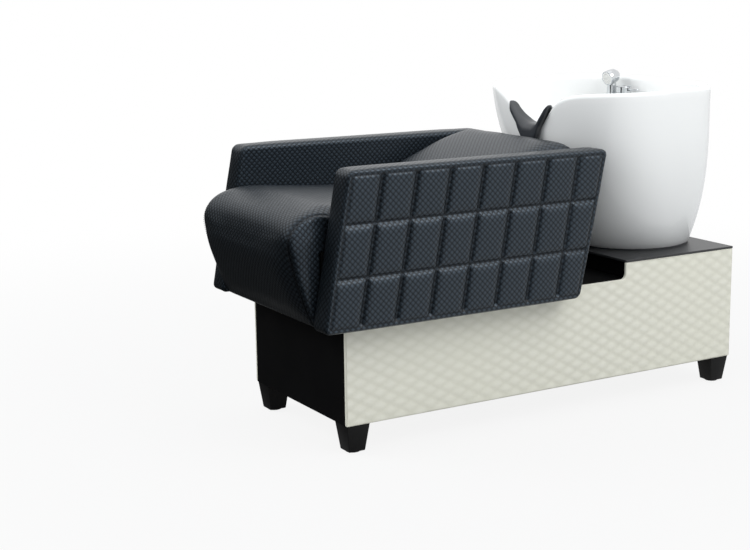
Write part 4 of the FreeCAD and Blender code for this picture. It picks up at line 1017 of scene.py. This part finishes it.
# Back cushion: a ramp of foam from the seat up to a soft crest behind the shoulders.
# It is laid on the back board, which is wrapped in the same leatherette.
BACK_PUFF = 0.012
BACK_FACING = 0.6
BACK_CORE = (-0.16, 0.02)
BACK_EASE = 0.006
back_low, back_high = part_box("back_cushion")
board_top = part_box("back_board")[1].z


def back_rests(at, way):
    """Where the back cushion meets the seat, lies on the box or is laid on its board."""
    front = at[:, 1] < back_low.y + RESTS_WITHIN
    under = at[:, 2] < back_low.z + RESTS_WITHIN
    behind = (way[:, 1] > BACK_FACING) & (at[:, 2] < board_top + BOARD_LAP)
    return front | under | behind


back = soft_cushion("back_cushion_cover", "back_cushion", back_rests, BACK_PUFF)
finer(back)
at, _ = skin_of(back)
at[:, 0] = np.clip(at[:, 0], back_low.x, back_high.x)
move_to(back, at)
cut_cover(back, (back_high.y + BACK_CORE[0], back_low.z + BACK_CORE[1]))
settle(back, "chair", "foam_filled_leatherette", "back_cushion")
back_panel = eased("leatherette_back_panel", "back_board", BACK_EASE, black, "chair", "black_leatherette")
flat = back_panel.data.uv_layers.new(name="cut")
for face in back_panel.data.polygons:
    across = max(range(3), key=lambda k: abs(face.normal[k]))
    one, two = [k for k in range(3) if k != across]
    for corner in face.loop_indices:
        point = back_panel.data.vertices[back_panel.data.loops[corner].vertex_index].co
        flat.data[corner].uv = (point[one], point[two])


# Basin: one slip-cast, white glazed vitreous china bowl, bedded on the board with a seal.
# Its front edge dips into a notch for the neck, and a ledge inside carries the tap.
RIM_HALF_X, RIM_HALF_Y, RIM_Y, RIM_Z = 0.292, 0.238, 0.3915, 0.825
FOOT_R, FOOT_Y, FOOT_Z = 0.170, 0.5005, 0.384
RIM_SLOPE = 0.006
RIM_SQUARENESS = 3.2
SIDE_SWELL, LEAN_SWELL, BOWL_SWELL = 2.7, 1.66, 2.2
RIM_R, WALL, CASTING = 0.011, 0.024, 0.014
NOTCH_DEPTH, NOTCH_HALF, NOTCH_SHARPNESS = 0.110, 0.087, 3
BOWL_FLOOR, BOWL_FLOOR_R, FLOOR_UNDER = 0.632, 0.060, 0.617
BOWL_HALF_X, BOWL_HALF_Y, BOWL_Y, DRAIN_Y = 0.232, 0.158, 0.373, 0.3505
BOWL_SQUARENESS = 2.5
LEDGE_SHARE, LEDGE_R, LEDGE_FALL = 0.555, 0.008, 0.001
HOLLOW_SHARE = 0.40
INNER_LEAN = 0.001
FOOT_EDGE = ((0.0, 0.004), (0.0012, 0.0012))
FOOT_EDGE_TOP = 0.004
DRAIN_R, FLANGE_SEAT_R, FLANGE_T = 0.023, 0.0353, 0.004
DRAIN_EASE_OUT, DRAIN_EASE_DOWN = 0.002, 0.001
BASIN_COLUMNS = 240
BASIN_CROWDING = 0.5
WALL_RINGS, INNER_RINGS, BOWL_RINGS, HOLLOW_RINGS, FOOT_RINGS = 30, 9, 22, 9, 12


def swell(share, power):
    """How far a wall has swelled out at a share of its height."""
    return 1 - np.maximum(0.0, 1 - share) ** power


def oval(angle, half_x, half_y, centre, squareness):
    """Points of a squared oval at those angles."""
    c, s = np.cos(angle), np.sin(angle)
    r = (abs(c / half_x) ** squareness + abs(s / half_y) ** squareness) ** (-1 / squareness)
    return r * c, centre + r * s


def wall_size(z, inset):
    """Half widths, centre and squareness of the outer wall at a height."""
    share = np.minimum(1.0, (z - FOOT_Z) / (RIM_Z - FOOT_Z))
    grow = swell(share, SIDE_SWELL)
    half_x = FOOT_R + (RIM_HALF_X - FOOT_R) * grow - inset
    half_y = FOOT_R + (RIM_HALF_Y - FOOT_R) * grow - inset
    centre = FOOT_Y + (RIM_Y - FOOT_Y) * swell(share, LEAN_SWELL)
    return half_x, half_y, centre, 2 + (RIM_SQUARENESS - 2) * share


def wall_ring(z, inset):
    """A ring of points on the outer wall, set in by so much."""
    x, y = oval(turns, *wall_size(z, inset))
    return np.stack([x, y, z + 0 * x], axis=1)


def rim_line(x, y):
    """The rim's height, which dips into the notch at the front."""
    dip = NOTCH_DEPTH / (1 + abs(x / NOTCH_HALF) ** NOTCH_SHARPNESS)
    return RIM_Z + RIM_SLOPE * (y - RIM_Y) - np.where(y < RIM_Y, dip, 0.0)


def bowl_ring(share, z, grow):
    """A ring of points on the bowl at a share of its depth, let out by so much."""
    wide = swell(share, BOWL_SWELL)
    half_x = BOWL_FLOOR_R + (BOWL_HALF_X - BOWL_FLOOR_R) * wide + grow
    half_y = BOWL_FLOOR_R + (BOWL_HALF_Y - BOWL_FLOOR_R) * wide + grow
    centre = DRAIN_Y + (BOWL_Y - DRAIN_Y) * wide
    x, y = oval(turns, half_x, half_y, centre, 2 + (BOWL_SQUARENESS - 2) * wide)
    return np.stack([x, y, z + 0 * x], axis=1)


def drain_ring(radius, z):
    """A round ring of points about the drain."""
    return np.stack([radius * np.cos(turns), DRAIN_Y + radius * np.sin(turns), z + 0 * turns], axis=1)


way_round = np.linspace(-1, 1, BASIN_COLUMNS, endpoint=False)
turns = math.pi * ((1 - BASIN_CROWDING) * way_round + BASIN_CROWDING * way_round ** 3 - 0.5)
rim_edge = wall_ring(RIM_Z, 0.0)
rim_top = rim_line(rim_edge[:, 0], rim_edge[:, 1])
ledge = BOWL_FLOOR + LEDGE_SHARE * (rim_top - BOWL_FLOOR)
hollow_top = BOWL_FLOOR + HOLLOW_SHARE * (rim_top - BOWL_FLOOR)
# From the foot up the outer wall, over the rim, down to the ledge and the bowl, and back under it.
wall_low, wall_top = FOOT_Z + FOOT_EDGE_TOP, rim_top - RIM_R
rings = [wall_ring(FOOT_Z + rise + 0 * turns, inset) for rise, inset in FOOT_EDGE]
rings += [wall_ring(wall_low + share * (wall_top - wall_low), 0.0) for share in np.linspace(0, 1, WALL_RINGS)]
for bend in np.radians((15, 30, 45, 60, 75, 90)):
    rings.append(wall_ring(rim_top - RIM_R * (1 - math.sin(bend)), RIM_R * (1 - math.cos(bend))))
for bend in np.radians((90, 75, 60, 45, 30, 15, 0)):
    rings.append(wall_ring(rim_top - RIM_R * (1 - math.sin(bend)), WALL - RIM_R * (1 - math.cos(bend))))
inner_low = ledge + LEDGE_R
rings += [wall_ring(wall_top + share * (inner_low - wall_top), WALL + INNER_LEAN * share)
          for share in np.linspace(0.12, 1, INNER_RINGS)]
for bend in np.radians((25, 50, 75, 90)):
    inset = WALL + INNER_LEAN + (LEDGE_R - INNER_LEAN) * (1 - math.cos(bend))
    rings.append(wall_ring(ledge + LEDGE_R * (1 - math.sin(bend)), inset))
outer_ledge, inner_ledge = rings[-1], bowl_ring(1.0, ledge - LEDGE_FALL, LEDGE_R)
rings += [outer_ledge + (inner_ledge - outer_ledge) * share for share in (0.25, 0.5, 0.75, 1.0)]
for bend in np.radians((30, 60, 90)):
    drop = LEDGE_FALL + (LEDGE_R - LEDGE_FALL) * (1 - math.cos(bend))
    rings.append(bowl_ring(1.0, ledge - drop, LEDGE_R * (1 - math.sin(bend))))
rings += [bowl_ring(share, BOWL_FLOOR + share * (ledge - LEDGE_R - BOWL_FLOOR), 0.0)
          for share in np.linspace(0.96, 0, BOWL_RINGS)]
flange_seat = BOWL_FLOOR - FLANGE_T
rings += [drain_ring(radius, z) for radius, z in (
    (FLANGE_SEAT_R + DRAIN_EASE_OUT, BOWL_FLOOR), (FLANGE_SEAT_R, BOWL_FLOOR - DRAIN_EASE_DOWN),
    (FLANGE_SEAT_R, flange_seat), (DRAIN_R, flange_seat), (DRAIN_R, FLOOR_UNDER))]
rings += [bowl_ring(share, FLOOR_UNDER + share * (hollow_top - FLOOR_UNDER), CASTING)
          for share in np.linspace(0, 1, HOLLOW_RINGS)]
rings += [wall_ring(FOOT_Z + share * (hollow_top - FOOT_Z), CASTING)
          for share in np.linspace(1, 0, FOOT_RINGS)]


def tube_of(rings, closed):
    """Faces between rings of equal count: last ring joined to first, or a face at each end."""
    count = len(rings[0])
    faces = []
    for i in range(len(rings) if closed else len(rings) - 1):
        low, top = i * count, (i + 1) % len(rings) * count
        faces += [(low + k, low + (k + 1) % count, top + (k + 1) % count, top + k) for k in range(count)]
    if not closed:
        last = (len(rings) - 1) * count
        faces += [tuple(range(count)), tuple(range(last, last + count))]
    return faces


# Glazed china: a thick clear glaze over white clay, wet-looking, wavy by a hair over 70 mm.
GLAZE_WAVES = 14.0
glaze, tree, shader = new_finish("white_glazed_china", {
    "Base Color": linear("#f1f2f1"), "Roughness": 0.14, "Specular IOR Level": 0.4})
spot = add_node(tree, "ShaderNodeTexCoord", {}).outputs["Object"]
wave = add_node(tree, "ShaderNodeTexNoise", {"Vector": spot, "Scale": GLAZE_WAVES, "Detail": 1.0})
bump = add_node(tree, "ShaderNodeBump", {
    "Height": wave.outputs["Fac"], "Distance": 0.0008, "Strength": 0.25})
tree.links.new(bump.outputs[0], shader.inputs["Normal"])
bowl = new_piece("glazed_basin", np.concatenate(rings), tube_of(rings, True), glaze)
settle(bowl, "chair", "glazed_white", "basin")


# Neck rest: a moulded rubber saddle pressed over the notch, with a lip each side of the wall.
# It is thick where the neck lies; past its lips it runs out to a rounded finger at both ends.
REST_HALF = 0.086
REST_PAD = 0.014
REST_FINGER_RISE = -0.003
REST_LIP = 0.009
REST_FRONT = 0.016
REST_DROP = 0.040
REST_TUCK = 0.024
REST_TIP = 0.0006
REST_GAP = 0.0008
REST_TONGUE = 0.002
LIPS_END = 0.7
TUCK_END = 0.45
FINGER_FROM = 0.25
FINGER_LIP = 0.30
FINGER_BACK = 0.006
FINGER_END = 0.84
FINGER_POINT = 0.04
REST_ROUND = (0.008, 0.024, 0.013, 0.004, 0.0015, 0.001, 0.001, 0.0015)
REST_BEND = 6
REST_SECTIONS = 81

# Rubber: moulded, charcoal black, with a soft shine and a 2 mm bloom.
RUBBER_BLOOM = 500.0
rubber, tree, shader = new_finish("black_moulded_rubber", {
    "Base Color": linear("#303338"), "Roughness": 0.36, "Specular IOR Level": 0.8})
spot = add_node(tree, "ShaderNodeTexCoord", {}).outputs["Object"]
bloom = add_node(tree, "ShaderNodeTexNoise", {"Vector": spot, "Scale": RUBBER_BLOOM, "Detail": 2.0})
bump = add_node(tree, "ShaderNodeBump", {
    "Height": bloom.outputs["Fac"], "Distance": 0.0001, "Strength": 0.3})
tree.links.new(bump.outputs[0], shader.inputs["Normal"])


def wall_front(x, z, inset):
    """Where the basin's front wall stands, at a place across and a height."""
    half_x, half_y, centre, squareness = wall_size(z, inset)
    return float(centre - half_y * (1 - abs(x / half_x) ** squareness) ** (1 / squareness))


def rest_section(share):
    """The rest's outline at a share of its half width, from one finger's end to the other's."""
    x = share * REST_HALF
    inner_x = x * RIM_HALF_X / (RIM_HALF_X - WALL)
    under = float(rim_line(inner_x, wall_front(inner_x, RIM_Z, 0.0))) + REST_GAP
    lipped = max(0.0, 1 - (share / LIPS_END) ** 2)
    lip = under - REST_TIP - (REST_DROP - REST_TIP) * max(lipped, FINGER_LIP)
    tuck = under - REST_TIP - (REST_TUCK - REST_TIP) * max(0.0, 1 - (share / TUCK_END) ** 2)
    front = wall_front(x, under, 0.0) - REST_GAP
    rear = wall_front(x, tuck, WALL + INNER_LEAN) + REST_GAP
    bulge = REST_LIP + (REST_FRONT - REST_LIP) * (1 - share * share)
    out = gradual((abs(share) - FINGER_FROM) / (FINGER_END - FINGER_FROM))
    back = rear + REST_LIP + ((front + rear) / 2 + FINGER_BACK - rear - REST_LIP) * out
    rear = min(rear, back - REST_TONGUE)
    top = under + REST_PAD + REST_FINGER_RISE * out
    outline = rounded([
        (front - bulge, lip), (front - bulge, top), (back, top), (back, tuck),
        (rear, tuck), (rear, under), (front, under), (front, lip),
    ], REST_ROUND, REST_BEND)
    tip = math.sqrt(max(0.0, 1 - max(0.0, (abs(share) - FINGER_END) / (1 - FINGER_END)) ** 2))
    core = Vector((front, (under + top) / 2))
    outline = [core + (p - core) * (FINGER_POINT + (1 - FINGER_POINT) * tip) for p in outline]
    return np.array([(x, p.x, p.y) for p in outline])


stations = np.sin(np.linspace(-math.pi / 2, math.pi / 2, REST_SECTIONS))
sections = [rest_section(share) for share in stations]
rest_faces = tube_of(sections, False)
rest = new_piece("rubber_neck_rest", np.concatenate(sections), rest_faces, rubber)
settle(rest, "neck_rest", "black_rubber", "neck_rest")


# Waste: a chromed flange and lift-out strainer in the bowl, a seal, nut and plastic trap below.
# The pipe bends down behind the base and is never seen.
FLANGE_EASE = 0.0006
STRAINER_EASE = 0.0003

# Chrome: plated and polished, a cool mirror with the faint 4.5 mm haze of wiping.
CHROME_HAZE = 220.0
chrome, tree, shader = new_finish("polished_chrome", {"Metallic": 1.0})
spot = add_node(tree, "ShaderNodeTexCoord", {}).outputs["Object"]
haze = add_node(tree, "ShaderNodeTexNoise", {"Vector": spot, "Scale": CHROME_HAZE, "Detail": 3.0})
tone = add_node(tree, "ShaderNodeValToRGB", {0: haze.outputs["Fac"]})
tone.color_ramp.elements[0].color = linear("#c8cbce")
tone.color_ramp.elements[1].color = linear("#dcdfe1")
wipe = add_node(tree, "ShaderNodeMapRange", {"Value": haze.outputs["Fac"], "To Min": 0.05, "To Max": 0.14})
tree.links.new(tone.outputs[0], shader.inputs["Base Color"])
tree.links.new(wipe.outputs[0], shader.inputs["Roughness"])
eased("chromed_drain_flange", "drain_flange", FLANGE_EASE, chrome, "chair", "chrome")
eased("chromed_hair_strainer", "hair_strainer", STRAINER_EASE, chrome, "hair_strainer", "chrome")
dress(rubber, "drain_gasket", "foot_seal")

# White plastic: moulded, off-white and satin, with 1.7 mm specks, as coarse as they need to show.
PLASTIC_SPECKS = 600.0
white_plastic, tree, shader = new_finish("white_moulded_plastic", {
    "Base Color": linear("#e6e6e3"), "Roughness": 0.4})
spot = add_node(tree, "ShaderNodeTexCoord", {}).outputs["Object"]
speckle = add_node(tree, "ShaderNodeTexNoise", {"Vector": spot, "Scale": PLASTIC_SPECKS, "Detail": 2.0})
bump = add_node(tree, "ShaderNodeBump", {
    "Height": speckle.outputs["Fac"], "Distance": 0.0001, "Strength": 0.2})
tree.links.new(bump.outputs[0], shader.inputs["Normal"])
dress(white_plastic, "trap_body", "trap_cup", "waste_pipe", "mixer_cartridge")

# Brass: turned and left bare, yellow with 3 mm flecks of darker tarnish.
BRASS_FLECKS = 300.0
brass, tree, shader = new_finish("turned_brass", {"Metallic": 1.0, "Roughness": 0.3})
spot = add_node(tree, "ShaderNodeTexCoord", {}).outputs["Object"]
lines = add_node(tree, "ShaderNodeTexNoise", {"Vector": spot, "Scale": BRASS_FLECKS, "Detail": 2.0})
tone = add_node(tree, "ShaderNodeValToRGB", {0: lines.outputs["Fac"]})
tone.color_ramp.elements[0].color = linear("#a5813c")
tone.color_ramp.elements[1].color = linear("#c9a75c")
tree.links.new(tone.outputs[0], shader.inputs["Base Color"])
dress(brass, "drain_nut", "mixer_nut", "holder_nut", "mixer_inlets")


# Mixer: turned and chromed brass on the basin's ledge, with a swivelling hub and a short lever.
# A nut under the ledge holds it, and two tails bring the water.
LATHE_COLUMNS = 72
LATHE_BEND = 5
LATHE_TURN = math.radians(35)
HAIR = 0.0002
HUB_EASE = 0.0006
SHANK_R, MIXER_FLANGE_R, MIXER_FLANGE_T, MIXER_R = 0.0165, 0.026, 0.005, 0.022
LEVER_COLUMNS = 40
LEVER_STEPS = 4
LEVER_SQUARENESS = 2.6
# The lever's run from its pin, half width and half thickness.
LEVER_FORM = (
    (-0.0054, 0.0008, 0.0008), (-0.0046, 0.0036, 0.0036), (0.0, 0.0049, 0.0053), (0.012, 0.0047, 0.0048),
    (0.030, 0.0042, 0.0037), (0.048, 0.0042, 0.0031), (0.056, 0.0052, 0.0029), (0.061, 0.0056, 0.0028),
    (0.0645, 0.0042, 0.0022), (0.066, 0.0008, 0.0006),
)


def turned(name, outline, radii, finish, base, way):
    """A piece turned on a lathe: radius and height along its way, on its base."""
    profile = []
    for p in rounded(outline, radii, LATHE_BEND):
        if not profile or (p - profile[-1]).length > ON_LINE:
            profile.append(p)
    spin = np.linspace(0, 2 * math.pi, LATHE_COLUMNS, endpoint=False)
    stand = np.array(Vector(way).to_track_quat("Z", "Y").to_matrix())
    rings = [np.stack([p.x * np.cos(spin), p.x * np.sin(spin), p.y + 0 * spin], axis=1) @ stand.T + base
             for p in profile]
    piece = new_piece(name, np.concatenate(rings), tube_of(rings, True), finish)
    piece.data.set_sharp_from_angle(angle=LATHE_TURN)
    return piece


mixer_low, mixer_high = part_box("mixer_body")
mixer_foot = np.array([(mixer_low.x + mixer_high.x) / 2, (mixer_low.y + mixer_high.y) / 2, 0.0])
tap_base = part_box("mixer_gasket")[1].z
mixer = turned("chromed_mixer_body", [
    (HAIR, mixer_low.z), (SHANK_R, mixer_low.z), (SHANK_R, tap_base), (MIXER_FLANGE_R, tap_base),
    (MIXER_FLANGE_R, tap_base + MIXER_FLANGE_T), (MIXER_R, tap_base + MIXER_FLANGE_T + 0.001),
    (MIXER_R, mixer_high.z), (HAIR, mixer_high.z),
], (0, 0.001, 0, 0.0005, 0.003, 0.004, 0.0012, 0), chrome, mixer_foot, (0, 0, 1))
settle(mixer, "chair", "chrome", "mixer_body")
eased("chromed_lever_hub", "lever_hub", HUB_EASE, chrome, "lever_hub", "chrome")
dress(zinc, "lever_pin")
dress(rubber, "mixer_gasket", "holder_gasket")

pin_low, pin_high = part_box("lever_pin")
lever_form = np.array(LEVER_FORM)
runs = [np.linspace(a, b, LEVER_STEPS, endpoint=False) for a, b in zip(lever_form[:-1, 0], lever_form[1:, 0])]
spin = np.linspace(0, 2 * math.pi, LEVER_COLUMNS, endpoint=False)
rings = []
for run in np.concatenate(runs + [lever_form[-1:, 0]]):
    wide, thick_here = [np.interp(run, lever_form[:, 0], lever_form[:, k]) for k in (1, 2)]
    across, height = oval(spin, wide, thick_here, 0.0, LEVER_SQUARENESS)
    rings.append(np.stack([mixer_foot[0] + run + 0 * spin, mixer_foot[1] + across,
                           (pin_low.z + pin_high.z) / 2 + height], axis=1))
lever = new_piece("chromed_mixer_lever", np.concatenate(rings), tube_of(rings, False), chrome)
settle(lever, "mixer_lever", "chrome", "mixer_lever")


# Hand sprayer: a chromed handle that stands in an open holder, its head leaning to the sitter.
# The face is a pale plastic plate with rings of soft jets.
HOLDER_BORE, HOLDER_TUBE_R, HOLDER_R, HOLDER_CUP_R = 0.0114, 0.0135, 0.019, 0.016
HOLDER_FLANGE_T, HOLDER_WAIST, HOLDER_WAIST_Z = 0.005, 0.001, 0.007
HANDLE_R, GRIP_R, SPRAY_NECK_R = 0.011, 0.013, 0.0105
GRIP_OVER_CUP, GRIP_SWELL, GRIP_SWELL_Z = 0.0001, 0.0008, 0.014
SPRAY_NECK_H, SPRAY_NECK_FLARE, SPRAY_FLARE_Z = 0.015, 0.0015, 0.005
HEAD_R, HEAD_HALF, PLATE_R, PLATE_T = 0.0212, 0.0208, 0.0165, 0.002
HEAD_OVER_HANDLE, PLATE_GAP = 0.0095, 0.0002
HEAD_TILT, HEAD_TURN = math.radians(15), math.radians(-5)
JET_R, JET_H, JET_SUNK, JET_TAPER = 0.0009, 0.0007, 0.0002, 0.8
JET_RINGS, JETS_MORE, JET_SPACING = 3, 6, 0.0042

holder_low, holder_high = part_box("sprayer_holder")
holder_foot = np.array([(holder_low.x + holder_high.x) / 2, (holder_low.y + holder_high.y) / 2, 0.0])
holder = turned("chromed_sprayer_holder", [
    (HOLDER_BORE, holder_low.z), (HOLDER_TUBE_R, holder_low.z), (HOLDER_TUBE_R, tap_base),
    (HOLDER_R, tap_base), (HOLDER_R, tap_base + HOLDER_FLANGE_T),
    (HOLDER_CUP_R - HOLDER_WAIST, tap_base + HOLDER_WAIST_Z), (HOLDER_CUP_R, holder_high.z),
    (HOLDER_BORE, holder_high.z),
], (0.0004, 0.0005, 0, 0.0005, 0.003, 0.003, 0.0016, 0.0008), chrome, holder_foot, (0, 0, 1))
settle(holder, "chair", "chrome", "sprayer_holder")

handle_low, handle_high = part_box("sprayer_handle")
grip_low = holder_high.z + GRIP_OVER_CUP
grip_top = handle_high.z - SPRAY_NECK_H
handle = turned("chromed_sprayer_handle", [
    (HAIR, handle_low.z), (HANDLE_R, handle_low.z), (HANDLE_R, grip_low), (GRIP_R, grip_low),
    (GRIP_R + GRIP_SWELL, grip_low + GRIP_SWELL_Z), (GRIP_R, grip_top),
    (SPRAY_NECK_R + SPRAY_NECK_FLARE, grip_top + SPRAY_FLARE_Z),
    (SPRAY_NECK_R, handle_high.z), (HAIR, handle_high.z),
], (0, 0.001, 0, 0.001, 0.02, 0.003, 0.004, 0.0005, 0), chrome, holder_foot, (0, 0, 1))
settle(handle, "sprayer", "chrome", "sprayer_handle")

head_way = np.array([-math.sin(HEAD_TURN) * math.cos(HEAD_TILT), -math.cos(HEAD_TURN) * math.cos(HEAD_TILT),
                     -math.sin(HEAD_TILT)])
head_middle = holder_foot + (0.0, 0.0, handle_high.z + HEAD_OVER_HANDLE)
plate_hole = PLATE_R + PLATE_GAP
head = turned("chromed_sprayer_head", [
    (HAIR, -HEAD_HALF), (0.013, -HEAD_HALF), (0.0198, -0.009), (HEAD_R, 0.007), (0.0202, HEAD_HALF),
    (plate_hole, HEAD_HALF), (plate_hole, HEAD_HALF - PLATE_T), (HAIR, HEAD_HALF - PLATE_T),
], (0, 0.006, 0.012, 0.01, 0.0012, 0.0004, 0, 0), chrome, head_middle, head_way)
settle(head, "sprayer", "chrome", "sprayer_head")

face_at = head_middle + head_way * (HEAD_HALF - PLATE_T)
plate = turned("spray_plate_disc", [(HAIR, 0.0), (PLATE_R, 0.0), (PLATE_R, PLATE_T), (HAIR, PLATE_T)],
               (0, 0.0002, 0.0005, 0), white_plastic, face_at, head_way)
settle(plate, "sprayer", "white_plastic", "spray_plate")
jet = turned("spray_jet", [
    (HAIR, -JET_SUNK), (JET_R, -JET_SUNK), (JET_R * JET_TAPER, JET_H), (HAIR, JET_H),
], (0, 0, 0.0003, 0), nylon, np.zeros(3), (0, 0, 1))
stand = np.array(Vector(head_way).to_track_quat("Z", "Y").to_matrix())
jets = [(0.0, 0.0, PLATE_T)]
for ring_number in range(1, JET_RINGS + 1):
    for a in np.linspace(0, 2 * math.pi, JETS_MORE * ring_number, endpoint=False):
        far = JET_SPACING * ring_number
        jets.append((far * math.cos(a), far * math.sin(a), PLATE_T))
jets = np.array(jets) @ stand.T + face_at
spray_jets = grown("spray_jets", jets, [], set_out, {
    "Copied": jet, "Facing": tuple(head_way), "Finish": nylon})
bpy.data.objects.remove(jet)
settle(spray_jets, "sprayer", "black_plastic")
